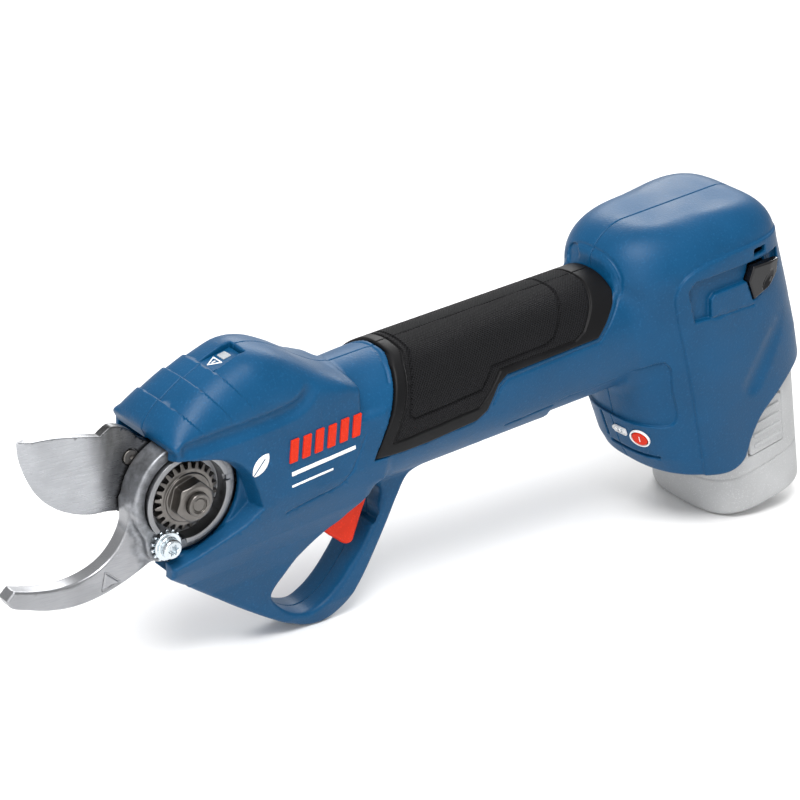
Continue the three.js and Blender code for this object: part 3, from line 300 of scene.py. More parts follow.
# ---- materials ----
class Look:
    """A material and short ways to add its nodes."""

    def __init__(self, name, colour, roughness, metallic=0.0):
        self.material = bpy.data.materials.new(name)
        self.material.use_nodes = True
        self.tree = self.material.node_tree
        self.shader = self.tree.nodes["Principled BSDF"]
        self.shader.inputs["Base Color"].default_value = (*colour, 1)
        self.shader.inputs["Roughness"].default_value = roughness
        self.shader.inputs["Metallic"].default_value = metallic
        self.place = self.node("ShaderNodeTexCoord").outputs["Object"]

    def node(self, kind, links=(), **settings):
        made = self.tree.nodes.new(kind)
        for key, value in settings.items():
            setattr(made, key, value)
        for key, source in dict(links).items():
            if isinstance(source, bpy.types.NodeSocket):
                self.tree.links.new(source, made.inputs[key])
            else:
                made.inputs[key].default_value = source
        return made

    def noise(self, scale, detail=3.0, stretch=(1, 1, 1)):
        spread = self.node("ShaderNodeVectorMath", {0: self.place, 1: stretch},
                           operation="MULTIPLY").outputs[0]
        made = self.node("ShaderNodeTexNoise", {"Vector": spread, "Scale": scale,
                                                "Detail": detail, "Roughness": 0.55})
        return made.outputs["Fac"]

    def value(self, name):
        return self.node("ShaderNodeAttribute", attribute_name=name).outputs["Fac"]

    def ranged(self, source, low, high, to_low, to_high):
        return self.node("ShaderNodeMapRange", {
            "Value": source, "From Min": low, "From Max": high, "To Min": to_low,
            "To Max": to_high}).outputs["Result"]

    def maths(self, operation, a, b=0.0):
        return self.node("ShaderNodeMath", {0: a, 1: b}, operation=operation).outputs[0]

    def mixed(self, factor, a, b):
        made = self.node("ShaderNodeMix", data_type="RGBA")
        for key, source in ((0, factor), (6, a), (7, b)):
            if isinstance(source, bpy.types.NodeSocket):
                self.tree.links.new(source, made.inputs[key])
            else:
                made.inputs[key].default_value = (*source, 1) if key else source
        return made.outputs[2]

    def into(self, key, source):
        self.tree.links.new(source, self.shader.inputs[key])

    def bump(self, height, strength, depth_mm, under=None):
        links = {"Height": height, "Strength": strength, "Distance": depth_mm * 0.001}
        if under is not None:
            links["Normal"] = under
        made = self.node("ShaderNodeBump", links).outputs["Normal"]
        self.into("Normal", made)
        return made


def moulded(name, colour, roughness, grain, depth, shine=0.4):
    """Injection-moulded plastic with a spark-eroded grain, fine paler specks that are painted highlights (glints
    of the grain), and faint flow marks.
    """
    look = Look(name, colour, roughness)
    fine = look.noise(grain, 4.0)
    broad = look.noise(45, 2.0)
    # Fine paler specks from the grain noise: painted highlights standing for the grain's glints.
    glint_tone = tuple(min(1.0, c * 1.25 + 0.004) for c in colour)
    darker = tuple(c * 0.86 for c in colour)
    tone = look.mixed(look.ranged(broad, 0.35, 0.65, 0, 1), darker, colour)
    glint_specks = look.ranged(fine, 0.56, 0.7, 0, 0.8)
    tone = look.mixed(glint_specks, tone, glint_tone)
    worn = look.ranged(look.node("ShaderNodeNewGeometry").outputs["Pointiness"], 0.53, 0.62, 0, 0.22)
    look.into("Base Color", look.mixed(worn, tone, tuple(min(1.0, c * 1.5 + 0.008) for c in colour)))
    look.into("Roughness", look.ranged(broad, 0.3, 0.7, roughness - 0.06, roughness + 0.06))
    look.bump(fine, 0.55, depth)
    look.shader.inputs["Specular IOR Level"].default_value = shine
    return look


def brushed(name, colour, roughness, stretch, depth=0.01):
    """Ground steel with fine lines along one direction and faint cloudy stains."""
    look = Look(name, colour, roughness, 1.0)
    lines = look.noise(2600, 3.0, stretch)
    clouds = look.noise(60, 3.0)
    dull = tuple(c * 0.8 for c in colour)
    tone = look.mixed(look.ranged(clouds, 0.35, 0.7, 0, 1), colour, dull)
    tone = look.mixed(look.ranged(lines, 0.3, 0.7, 0, 0.35), tone, tuple(c * 0.72 for c in colour))
    look.into("Base Color", tone)
    look.into("Roughness", look.ranged(lines, 0.3, 0.7, roughness - 0.07, roughness + 0.1))
    look.bump(lines, 0.35, depth)
    return look


def machined(name, colour, roughness, grain=900, depth=0.02):
    """Turned, cast or plated metal: a small uneven grain without a direction."""
    look = Look(name, colour, roughness, 1.0)
    grains = look.noise(grain, 4.0)
    clouds = look.noise(150, 2.0)
    tone = look.mixed(look.ranged(clouds, 0.35, 0.65, 0, 1), colour, tuple(c * 0.75 for c in colour))
    look.into("Base Color", tone)
    look.into("Roughness", look.ranged(grains, 0.3, 0.7, roughness - 0.08, roughness + 0.08))
    look.bump(grains, 0.4, depth)
    return look


def knurled_rubber():
    """Soft black overmould: fine diagonal knurl, with smooth raised borders; the knurl's grooves carry painted
    shade and its ridge tops a painted highlight.
    """
    look = Look("black_rubber", (0.018, 0.018, 0.02), 0.62)
    along = look.value("along")
    around = look.value("around")
    knurl = look.value("knurl")
    rows = []
    for lean in (1.0, -1.0):
        slant = look.maths("ADD", along, look.maths("MULTIPLY", around, lean))
        rows.append(look.maths("SINE", look.maths("MULTIPLY", slant, 2 * math.pi / KNURL_PITCH)))
    pattern = look.maths("MULTIPLY", look.maths("MAXIMUM", rows[0], rows[1]), knurl)
    fine = look.noise(2600, 3.0)
    # The knurl's grooves are painted darker and its ridge tops lighter: painted shade and painted highlight on one
    # rubber.
    tone = look.mixed(look.ranged(pattern, 0.0, 1.0, 0, 0.6), (0.003, 0.003, 0.0035),
                      (0.012, 0.012, 0.014))
    dust = look.ranged(look.noise(70, 3.0), 0.45, 0.8, 0, 0.25)
    look.into("Base Color", look.mixed(dust, tone, (0.014, 0.014, 0.016)))
    look.into("Roughness", look.ranged(knurl, 0, 1, 0.5, 0.72))
    under = look.bump(fine, 0.25, 0.02)
    look.bump(pattern, 1.0, 0.3, under)
    look.shader.inputs["Specular IOR Level"].default_value = 0.16
    return look


BLUE = (0.001, 0.053, 0.134)
STEEL = (0.40, 0.41, 0.43)
blue = moulded("blue_plastic", BLUE, 0.43, 1250, 0.16, shine=0.2)
red = moulded("red_plastic", (0.58, 0.024, 0.005), 0.34, 1500, 0.01, shine=0.12)
grey = moulded("grey_plastic", (0.40, 0.405, 0.41), 0.5, 1900, 0.02)
gloss_black = moulded("black_plastic", (0.004, 0.004, 0.005), 0.14, 900, 0.003)
white = moulded("white_print", (0.78, 0.78, 0.78), 0.5, 1200, 0.005)
lens = moulded("clear_lens", (0.33, 0.35, 0.37), 0.2, 700, 0.004)
cells = moulded("cell_wrap", (0.03, 0.17, 0.26), 0.35, 500, 0.01)
board = moulded("board_green", (0.02, 0.14, 0.05), 0.4, 1800, 0.02)
rubber = knurled_rubber()
zinc = machined("zinc_steel", (0.70, 0.76, 0.80), 0.24, 700, 0.02)
nut_steel = machined("dark_steel", (0.17, 0.16, 0.15), 0.36, 900, 0.03)
gear_steel = machined("gear_steel", (0.35, 0.35, 0.36), 0.35)
cast = machined("aluminium", (0.52, 0.53, 0.54), 0.5, 1400, 0.05)
copper = machined("copper", (0.72, 0.36, 0.18), 0.3)


def blade_look():
    """Ground blade steel, darker in streaks towards its root at the pivot."""
    look = brushed("blade_steel", STEEL, 0.3, (0.05, 1, 1))
    base = look.shader.inputs["Base Color"].links[0].from_socket
    root_dark = look.value("root_darkened")
    dark_streaks = look.noise(260, 4.0, (1, 1, 0.3))
    amount = look.maths("MULTIPLY", root_dark, look.ranged(dark_streaks, 0.25, 0.75, 0.65, 1.0))
    look.into("Base Color", look.mixed(amount, base, (0.06, 0.06, 0.06)))
    return look


def forged_look():
    """The hook is ground bright, and its boss stays dark and forged."""
    look = brushed("hook_steel", (0.35, 0.355, 0.37), 0.34, (0.08, 1, 1))
    base = look.shader.inputs["Base Color"].links[0].from_socket
    rough = look.shader.inputs["Roughness"].links[0].from_socket
    forged = look.value("forged")
    scale = look.noise(420, 5.0)
    skin = look.mixed(look.ranged(scale, 0.3, 0.7, 0, 1), (0.17, 0.175, 0.185),
                      (0.30, 0.31, 0.33))
    look.into("Base Color", look.mixed(forged, base, skin))
    dull = look.maths("ADD", rough, look.maths("MULTIPLY", forged, 0.14))
    look.into("Roughness", dull)
    height = look.maths("MULTIPLY", scale, forged)
    look.bump(height, 0.5, 0.12)
    return look


blade_steel = blade_look()
hook_steel = forged_look()
ring_steel = brushed("ring_steel", (0.27, 0.275, 0.285), 0.34, (1, 1, 0.06))
SLOT_LOOKS = {
    "blue_plastic": blue, "black_rubber": rubber, "red_plastic": red,
    "black_plastic": gloss_black, "grey_plastic": grey, "brushed_steel": ring_steel,
    "dark_steel": nut_steel, "zinc_steel": zinc, "gear_steel": gear_steel, "aluminium": cast,
    "copper": copper, "board_green": board, "clear_lens": lens, "cell_wrap": cells,
}
for part in frame["record"]["subparts"]:
    shown = frame["nodes"][part["node"]]
    shown.data.materials.clear()
    shown.data.materials.append(SLOT_LOOKS[part["material_slot"]].material)


# ---- housing ----
CROWN_LINE = smooth([(-9, 21), (-7, 25.2), (-3.6, 29), (8, 35.6), (24, 40.2), (31, 41),
                     (38, 39.2), (46, 34.6), (56, 27.4), (66, 22), (80, 18)], closed=False)
GUARD_OUTER = smooth([(99, -25.4), (92, -28.4), (87.6, -34.6), (83, -42.6), (76.4, -53.4),
                      (69.6, -63.4), (63.4, -70.2), (56.6, -73.6), (50, -73.3), (41, -69),
                      (25, -57.5), (6, -41.5), (-10, -27)], closed=False)
FINGER_LOOP = smooth([(33, -53.5), (39, -46.5), (46, -40.5), (54, -35.5), (64, -31.5),
                      (74, -28.5), (80, -28.6), (80.6, -33), (77, -40.6), (71.4, -48.6),
                      (66, -55), (60, -61), (54, -65), (48, -66.6), (42, -64.6), (36, -59.5)])
HEAD_SIDE = [(-6.2, 19.4), (-7.6, 22.6), (-7.6, 60), (66, 60), (66, 8), (76, 8),
             (76, -24.4)] + GUARD_OUTER
HALF_WIDTHS = ((-75, 5.6), (-66, 8), (-54, 8.3), (-42, 9.4), (-33.5, 11.6), (-26, 15.7),
               (-18.5, 18), (-11, 19.5), (60, 19.5))
HEAD_HOLLOW = [(-30, 16), (-4.4, 21.6), (-1.2, 26), (9, 31.6), (24, 36.2), (31, 37.4), (37, 35.9),
               (44.6, 31.2), (54.6, 24.2), (63.6, 19), (63.6, -24), (60, -28), (51, -32.4),
               (42, -39), (33, -47.5), (26, -53.8), (8, -38.6), (-30, -22.5)]
POCKET = smooth([(-40, 18), (-5, 17.6), (1, 15.8), (9, 13.2), (16, 9.4), (20.6, 4), (23.4, -3.6),
                 (25, -11)], closed=False) + [(18, -15.6), (0, -21.5), (-40, -30)]
POCKET_FLOOR = 12.8
MOUTH = [(-40, 18.6), (-3.5, 18.6), (2, 15.5), (2, -33), (-12, -40), (-40, -40)]
POCKET_WALL = [(-10, -27), (0, -24.5), (20, -18.6), (27.6, -12), (26, -3), (22.6, 5.6),
               (17.8, 11.6), (10, 15.4), (3, 17.6), (3, 10), (12, 0), (0, -12), (-10, -16)]
HOUSING_FOOT = [(150, -64)] + smooth([(198, -64.4), (214, -66.6), (226, -67.4), (232, -64.2),
                                      (235.5, -56), (240, -48.5), (248, -42), (259, -35),
                                      (300, -26)], closed=False) + [(300, -140), (150, -140)]
HOUSING_LEVELS = ((-70, 204, 276, 30.5), (-58, 197, 274.5, 30.5), (-42, 191.5, 271.5, 30.5),
                  (-20, 186.5, 267.5, 30.5), (0, 182.5, 262.6, 30.0), (18, 180.5, 257.8, 29.4),
                  (40, 179, 253.6, 28.8))
SIDE_PANEL = smooth([(214.6, -64), (211.2, -49), (205.8, -22), (200.2, 3.4), (199.2, 11.6),
                     (200.6, 16), (204, 19.2), (211, 21.4), (224.4, 22.9)], closed=False) + [
                         (243, 23.0), (290, 21.5), (290, -90), (221, -90)]
KEY_CHANNEL = [(250, 16.4), (207.4, 16.6), (204.4, 13.4), (207, 0.8), (214.4, 0.3),
               (214.3, 7.6), (216.2, 9.3), (250, 9.6)]
KEY_LINE = [(214.4, 0.3), (226, -0.3), (235, -0.8)]
KEY_CLIP = [(234.1, 14.8), (231.9, 9.4), (234.8, 1.3), (242.2, 4.3), (246.4, 8.8), (247.2, 14.2)]
LABEL_LINE = [(34.2, -16.6), (45.5, -15.1), (56.6, -13.8), (61.2, -9.8), (67.1, 2)]
VALLEY_LINE = smooth([(-2, 20.8), (20, 20.4), (33, 20.6), (41, 21.8), (45.6, 25), (48, 31)],
                     closed=False)
LOOP_BROW = [(55, -37), (62, -29.6), (69, -24.6), (80, -23.6), (80, -33), (66, -35)]
FOOT_LINE = [(128, -17.2), (152, -16.3), (190, -15.6), (197, -14.2)]
FRONT_RECESS = smooth([(150, -16.6), (171, -16.1), (190, -15.4), (195.6, -13.9), (198.8, -16),
                       (200.4, -26), (203, -38), (201.6, -41.8), (196, -42.6), (180, -42.2),
                       (160, -41)], per=5)
PLATE_STEPS = (19.2, 31.5, 40.6, 50.9)
PLATE_LEAN = 0.62
PLATE_DROP = 0.9
GRIP_SIDE = [(86.4, 40), (86.4, 21), (84.2, 18.8), (80.7, 11.5), (78, 5.8), (74.4, -0.6), (70.2, -9.4),
             (92, -9.8), (113, -8.8), (117.4, -6.4), (122.6, 1.8), (127, 4.2), (168.6, 4.2),
             (173.7, 8.4), (179, 13.2), (181.4, 16.4), (182, 21), (182, 40)]
GRIP_LINES = ([(91, 40), (91, 21), (88.6, 18.4), (84.4, 9), (81.2, 3), (77.4, -4.6), (113.9, -3.7),
               (117.7, -0.4), (124.3, 6.6), (158.2, 6.4), (162.8, 8.4), (169, 14.6),
               (173.2, 20), (173.4, 40)],
              [(93.6, 40), (93.6, 20.8), (91.4, 18.5), (87.3, 11.5), (84.4, 3.4), (86, 1.6),
               (101.4, 1.9), (115.6, 2.4), (121.2, 8.7), (145.4, 8.8), (149.8, 10), (156.3, 16.2),
               (160.2, 20.4), (160.2, 40)])


def curve_at(points, where):
    xs, zs = zip(*sorted(points))
    return np.interp(where, xs, zs).astype(np.float32)


def handle_barrel(b, grow):
    middle = HANDLE_LEVEL + HANDLE_SLOPE * (b.x - HANDLE_LEVEL_AT)
    half = HANDLE_HALF_WIDTH - 2.6 * (1 - between(b.x, 60, 84))
    return oblong(b.y, b.z - middle, half + grow, HANDLE_HALF_HEIGHT + grow, 2.2)


def battery_axes(b):
    """Distances back from, and up along, the battery's own leaning axis."""
    lean = math.radians(BATTERY_LEAN)
    du = b.x - BATTERY_FOOT[0]
    dv = b.z - BATTERY_FOOT[2]
    return du * math.cos(lean) + dv * math.sin(lean), dv * math.cos(lean) - du * math.sin(lean)


def head_form(b):
    side = outline(b.x, b.z, HEAD_SIDE)
    half = curve_at(HALF_WIDTHS, b.z)
    half = half + (8.2 - half) * between(b.x, 68, 78) * between(-b.z, 18, 26)
    body = both(side, (b.y - half) * 0.97, 1.5)
    crown = curve_at(CROWN_LINE, b.x)
    shoulder = np.minimum(20.5, crown - 4)
    spread = np.clip(1 - (np.abs(b.y) / (HEAD_HALF_WIDTH + 0.3)) ** 3.4, 0, 1) ** 0.6
    top = shoulder + (crown - shoulder) * spread
    slant = b.x + PLATE_LEAN * top
    edges = (4.0,) + PLATE_STEPS
    sink = np.zeros_like(top)
    for start, end in zip(edges, edges[1:]):
        ahead = np.clip((slant - start) / (end - start), 0, 1)
        within = between(slant, start - 0.2, start + 0.2) * (1 - between(slant, end - 0.2, end + 0.2))
        sink = sink + within * PLATE_DROP * (1 - ahead)
    on_plates = between(top, 22.6, 24.6)
    top = top - sink * on_plates
    steep = 1 / np.sqrt(1 + np.gradient(top, b.voxel, axis=0) ** 2
                        + np.gradient(top, b.voxel, axis=1) ** 2)
    head = both(body, (b.z - top) * steep, 1.0)
    valley = np.hypot(path(b.x, b.z, VALLEY_LINE), b.y - HEAD_HALF_WIDTH - 1.5) - 3.3
    head = without(head, valley, 1.2)
    brow = both(outline(b.x, b.z, LOOP_BROW), TRIGGER_HALF_WIDTH + 0.4 - b.y, 0.6)
    return without(without(head, brow, 0.8), outline(b.x, b.z, FINGER_LOOP), 1.9)


def housing_form(b):
    """The battery housing's outer form, and the raised panel on its side."""
    levels = np.array(HOUSING_LEVELS)
    height = b.z + 0 * b.x
    front = np.interp(height, levels[:, 0], levels[:, 1]).astype(np.float32)
    rear = np.interp(height, levels[:, 0], levels[:, 2]).astype(np.float32)
    half = np.interp(height, levels[:, 0], levels[:, 3]).astype(np.float32)
    middle = (front + rear) / 2
    squareness = 3.1 + 0.4 * np.tanh((b.x - middle) / 8)
    u = b.x - middle
    crown = b.z - HOUSING_TOP
    base = oblong(u, b.y, (rear - front) / 2, half - PANEL_PROUD, squareness)
    panel = oblong(u, b.y, (rear - front) / 2, half, squareness)
    bend = HOUSING_CROWN + HOUSING_BROW * between(middle - b.x, -25, 25)
    base = both(base, crown, bend)
    panel = both(panel, crown, bend)
    patch = both(outline(b.x, b.z, SIDE_PANEL), 14 - b.y)
    return joined(base, both(panel, patch, 0.4), 0.3)


def bay_form(b):
    u, up = battery_axes(b)
    low = oblong(u, b.y, BATTERY_HALF_DEPTH + BAY_ROOM, BATTERY_HALF_WIDTH + BAY_ROOM, 3)
    high = oblong(u - STEM_FORWARD, b.y, STEM_HALF_DEPTH + BAY_ROOM, STEM_HALF_WIDTH + BAY_ROOM, 3)
    low = both(low, slab(up, -20, SHOULDER + BAY_ROOM))
    return joined(low, both(high, slab(up, 50, 96)))


def grip_seat(b, room):
    patch = outline(b.x, b.z, GRIP_SIDE) - room
    return patch, both(patch, -handle_barrel(b, -GRIP_DEPTH - room))


def side_rods(b, spots, radius):
    return np.minimum.reduce([np.hypot(b.x - x, b.z - z) for x, z in spots]) - radius


def housing_shells():
    """Both halves, from one block whose y is the distance from the parting plane."""
    b = Block((-14, -1.0, -78), (282, 32.2, 45), 0.45)
    handle = both(handle_barrel(b, 0), slab(b.x, 52, 197))
    outer = joined(joined(head_form(b), handle, 2), housing_form(b), 4)
    front_face = both(outline(b.x, b.z, FRONT_RECESS), -(outer + 1.3))
    outer = without(outer, front_face, 0.2)
    bay = bay_form(b)
    foot = outline(b.x, b.z, HOUSING_FOOT)
    half = curve_at(HALF_WIDTHS, b.z)
    hollow = both(outline(b.x, b.z, HEAD_HOLLOW), b.y - half + WALL)
    hollow = joined(hollow, both(handle_barrel(b, -WALL), slab(b.x, 62, 200)))
    hollow = joined(hollow, both(housing_form(b) + WALL + 0.5, slab(b.x, 180, 290)))
    hollow = both(hollow, outer + WALL)
    patch, seat = grip_seat(b, 0.25)
    shell = without(outer, hollow)
    bosses = side_rods(b, [(x, z) for x, z, _ in HOUSING_SCREWS],
                      SCREW_BOSS_RADIUS)
    shell = joined(shell, both(bosses, outer + 0.5))
    step = both(np.abs(patch - 1.7) - 0.35, -(outer + 0.4))
    step = both(step, 110 - b.x - 2.0 * b.z)
    shell = without(without(shell, seat, 0.25), step, 0.15)
    shell = without(without(shell, foot, 1.0), bay)
    slot = both(slab(b.x, 50.6, 79.5), slab(b.z, -42, -18))
    shell = without(shell, both(slot, b.y - TRIGGER_HALF_WIDTH - 0.4), 0.5)
    lower = both(path(b.x, b.z, FOOT_LINE) - 0.35, -(outer + 0.45))
    shell = without(shell, both(lower, 8 - b.y), 0.2)
    split = PARTING - b.y
    mouth = outline(b.x, b.z, MOUTH)
    lid = both(slab(b.x, 16.8, 29.7), slab(b.z, 37.2, 60))
    wall = both(outline(b.x, b.z, POCKET_WALL), 11 - b.y)
    left = joined(shell, both(wall, outer + 0.3))
    boss_room = joined(np.hypot(b.x, b.z) - BOSS_ROOM_RADIUS,
                       np.hypot(b.x - LOCK_AT[0], b.z - LOCK_AT[1]) - LOCK_ROOM_RADIUS)
    left = without(left, both(boss_room, b.y - POCKET_FLOOR))
    left = without(left, both(mouth, b.y - POCKET_FLOOR + 1.8))
    draft = outline(b.x, b.z, POCKET) + 0.30 * (HEAD_HALF_WIDTH - b.y)
    left = without(left, both(draft, POCKET_FLOOR - b.y), 0.7)
    left = left_details(b, outer, left)
    left = without(left, both(lid, b.y - 6.2), 0.3)
    right = without(shell, both(mouth, b.y - HEAD_HALF_WIDTH + WALL))
    sector_room = both(np.hypot(b.x, b.z) - SECTOR_ROOM_RADIUS, slab(b.y, 2, 13.1))
    right = without(right, both(sector_room, outer + 1.2))
    for x, z, half_width in HOUSING_SCREWS:
        hole = np.hypot(b.x - x, b.z - z) - SCREW_HOLE_RADIUS
        right = without(right, both(hole, half_width - 3.2 - b.y), 0.3)
    right = without(right, both(lid, b.y - 2.4), 0.3)
    dimple = np.sqrt((b.x - 184.5) ** 2 + (b.y - 9.5) ** 2 + (b.z - 21.5) ** 2) - 4.2
    right = without(right, both(dimple, -(outer + 1.1), 0.8), 0.5)
    right = without(right, panel_slots(b, 1, outer), 0.2)
    for name, form, mirrored in (("housing_left", left, True), ("housing_right", right, False)):
        fitted("fine_" + name, b, both(form, split), blue,
               ("housing", "blue_plastic", name), mirrored=mirrored, merge=0.02)


def panel_slots(b, side, outer):
    """The two narrow slots that frame the control panel on the housing's front."""
    across = b.y * side
    skin = -(outer + 1.2)
    upright = both(slab(across, 5.6, 6.8), slab(b.z, -55.2, -43.6))
    level = both(slab(b.z, -57.9, -56.7), slab(across, -17.5, 5.4))
    return both(both(joined(upright, level), slab(b.x, 170, 215)), skin)


def left_details(b, outer, left):
    """What only the nut side has: lines, the key's channel, and holes in the control panel."""
    skin = outer + 0.4
    lines = path(b.x, b.z, LABEL_LINE) - 0.32
    left = without(left, both(both(lines, 12 - b.y), -skin), 0.15)
    deep = both(outline(b.x, b.z, KEY_CHANNEL), -(outer + 2.4))
    left = without(left, both(deep, 20 - b.y), 0.25)
    key = both(path(b.x, b.z, KEY_LINE) - 0.3, -skin)
    left = without(left, both(key, 20 - b.y), 0.1)
    keyhole = both(slab(b.x, 235.4, 241.6), slab(b.z, 18.0, 20.6))
    left = without(left, both(keyhole, 24 - b.y), 0.25)
    clip = outline(b.x, b.z, KEY_CLIP) - 0.3
    left = without(left, both(clip, 26.2 - b.y), 0.2)
    fold = np.hypot(path(b.x, b.z, [(252, -9), (243.5, -20), (235, -33)]), b.y - 34.2) - 4.4
    left = without(left, fold, 2.5)
    left = without(left, panel_slots(b, -1, outer), 0.2)
    way = np.array(BUTTON_OUT) / np.linalg.norm(BUTTON_OUT)
    dx = b.x - BUTTON_AT[0]
    dy = -b.y - BUTTON_AT[1]
    dz = b.z - BUTTON_AT[2]
    depth = dx * way[0] + dy * way[1] + dz * way[2]
    reach = np.sqrt(np.maximum(dx * dx + dy * dy + dz * dz - depth * depth, 0))
    return without(left, both(reach - BUTTON_HOLE_RADIUS, np.abs(depth) - 6), 0.2)


def grips():
    """The rubber overmould: a knurled field inside two smooth raised borders."""
    b = Block((62, -1, -14), (184, 23.5, 24), 0.35)
    patch, _ = grip_seat(b, 0)
    skin = handle_barrel(b, GRIP_PROUD)
    form = both(both(skin, patch, 0.7), -handle_barrel(b, -GRIP_DEPTH), 0.2)
    for points in GRIP_LINES:
        line = np.abs(outline(b.x, b.z, points)) - 0.42
        form = without(form, both(line, -(skin + 0.6)), 0.25)
    form = both(form, PARTING - b.y, 0.2)
    for word, mirrored in (("left", True), ("right", False)):
        piece, points = carved("fine_grip_" + word, b, form, rubber.material,
                               mirrored=mirrored, merge=0.01)
        x, y, z = points.T
        middle = HANDLE_LEVEL + HANDLE_SLOPE * (x - HANDLE_LEVEL_AT)
        painted(piece, "along", x)
        painted(piece, "around", np.arctan2(y, z - middle) * HANDLE_HALF_WIDTH)
        painted(piece, "knurl", between(-outline(x, z, GRIP_LINES[0]), 0.3, 0.8))
        rides(piece, "housing", "black_rubber", "grip_" + word)


# ---- blades ----
BLADE_TOP = smooth([(-52.6, 34.4), (-49.5, 33.2), (-40.8, 31.6), (-30, 28.4), (-23.8, 26.2)],
                   closed=False)
BLADE_NECK = smooth([(-22.8, 26.9), (-19.7, 28.2), (-17, 27.6), (-12.8, 24.8), (-8.8, 20.2),
                     (-4.6, 17.8), (2, 17), (10, 13.6), (15.4, 8.6), (17.4, 1), (15.6, -8),
                     (9.4, -14.8), (0, -17.4), (-8, -15.2), (-15, -8.6), (-18.4, -3.4)],
                    closed=False)
BLADE_EDGE = smooth([(-20.4, -3.4), (-24, -2.4), (-29.5, -1.4), (-36.7, 1.6), (-43.6, 6.6),
                     (-49, 13.4), (-52.6, 22), (-54.2, 30), (-54.1, 33.8)], closed=False)
HOOK_OUTER = smooth([(-66.5, -15.4), (-65, -18.6), (-59, -21.8), (-51.9, -24.9), (-42.8, -27.1),
                     (-33.4, -27.2), (-23.6, -25.4), (-13.6, -22), (-6, -18.4)], closed=False)
HOOK_INNER = smooth([(-19.6, 3), (-20.4, -4.3), (-23.6, -10.4), (-28.3, -14.9), (-33, -17.2),
                     (-40, -18.5), (-47.5, -18.2), (-56.5, -15.8), (-63.4, -13)], closed=False)
EAR = [(12.5, 12), (21, 12.4), (30.6, 12.4), (30.6, 20), (20, 20), (7, 18.2)]


def cutting_blade():
    b = Block((-56, -2.2, -19), (19, 2.6, 36), 0.3)
    side = outline(b.x, b.z, BLADE_TOP + BLADE_NECK + BLADE_EDGE)
    edge = path(b.x, b.z, BLADE_EDGE)
    ground = (b.y + 1.5) - 0.35 - np.minimum(edge / BEVEL_WIDTH, 1) * 3.15
    ground = ground * 0.93
    form = both(both(side, ground, 0.1), slab(b.y, *BLADE_FACES), 0.15)
    grind = (-b.y - 1.5) + 0.9 * (1 - np.clip(edge / 7.5, 0, 1)) ** 1.3
    form = both(form, grind * 0.95, 0.1)
    form = without(form, np.hypot(b.x, b.z) - BOLT_HOLE_RADIUS)
    form = without(form, np.hypot(b.x - RIVET_AT[0], b.z - RIVET_AT[1]) - 2.9, 0.2)
    piece, points = carved("fine_cutting_blade", b, form, blade_steel.material, merge=0.005)
    x, _, z = points.T
    # Darker towards the blade's root at the pivot.
    painted(piece, "root_darkened", between(x + 0.12 * (z - 10), -29, -20))
    rides(piece, "blade", "brushed_steel", "cutting_blade")
    r = Block((-17, -2.2, 11.6), (-9.8, 3.2, 18.6), 0.15)
    disc = np.hypot(r.x - RIVET_AT[0], r.z - RIVET_AT[1]) - 2.6
    form = both(disc, slab(r.y, -1.65, 2.55), 0.3)
    form = without(form, both(disc + 1.9, r.y + 1.2), 0.1)
    fitted("fine_rivet", r, form, nut_steel, ("blade", "dark_steel", "blade_rivet"))


def counter_blade():
    b = Block((-68.5, -12.4, -29.5), (32, -1.0, 22.5), 0.32)
    hook_side = outline(b.x, b.z, HOOK_OUTER + [(-2, -12), (-6, 4), (-12, 6)] + HOOK_INNER)
    form = both(hook_side, slab(b.y, *HOOK_FACES), 0.9)
    boss = both(np.hypot(b.x, b.z) - 19.4, slab(b.y, *BOSS_FACES), 1.0)
    lug = both(np.hypot(b.x - LOCK_AT[0], b.z - LOCK_AT[1]) - 6.6, slab(b.y, *BOSS_FACES), 0.8)
    form = joined(joined(form, boss, 1.6), lug, 2.4)
    for flip in (1, -1):
        ear = [(x, z * flip) for x, z in EAR]
        form = joined(form, both(outline(b.x, b.z, ear), slab(b.y, *HOOK_FACES), 0.5))
        form = without(form, np.hypot(b.x - 26.4, b.z - 16.2 * flip) - 1.9)
    form = without(form, both(np.hypot(b.x, b.z) - 15.6, b.y + 7.4), 0.5)
    form = without(form, np.hypot(b.x, b.z) - BOLT_HOLE_RADIUS)
    form = without(form, np.hypot(b.x - LOCK_AT[0], b.z - LOCK_AT[1]) - 1.9)
    form = both(form, slab(b.y, *BOSS_FACES))
    triangle = [(-30.2, -19.0), (-32.0, -25.2), (-25.0, -24.6)]
    mark = np.abs(outline(b.x, b.z, triangle)) - 0.28
    form = without(form, both(mark, b.y + 7.45), 0.0)
    piece, points = carved("fine_counter_blade", b, form, hook_steel.material, merge=0.005)
    x, y, z = points.T
    wavy = 0.9 * np.sin(0.7 * z) + 0.5 * np.sin(1.9 * z + 1)
    line = np.where(z > -8, -20.6 + 0.1 * (z + 8), -20.6 - 0.2 * (z + 8))
    near_boss = between(x + wavy, line - 0.6, line + 0.8)
    deep = between(-y, 1.0, 2.0)
    painted(piece, "forged", near_boss * deep)
    rides(piece, "housing", "brushed_steel", "counter_blade")


def clamp_ring():
    b = Block((-18, -15.2, -18), (18, -7.2, 18), 0.22)
    r = np.hypot(b.x, b.z)
    floor = both(slab(r, 8, 15.2), slab(b.y, -8.7, -7.7))
    wall = both(slab(r, 14.2, 15.2), slab(b.y, -13.9, -7.7))
    lip = both(slab(r, 14.4, 16.0), slab(b.y, -13.9, -13.3))
    form = joined(joined(floor, wall, 0.4), lip, 0.3) - 0.05
    form = without(form, np.hypot(b.x - LOCK_AT[0], b.z - LOCK_AT[1]) - 7.0, 0.3)
    notch = both(slab(b.x, 12.5, 20), slab(b.z, 1.4, 3.6))
    form = without(form, both(notch, b.y + 12.4), 0.2)
    fitted("fine_clamp_ring", b, form, ring_steel, ("housing", "zinc_steel", "clamp_ring"))


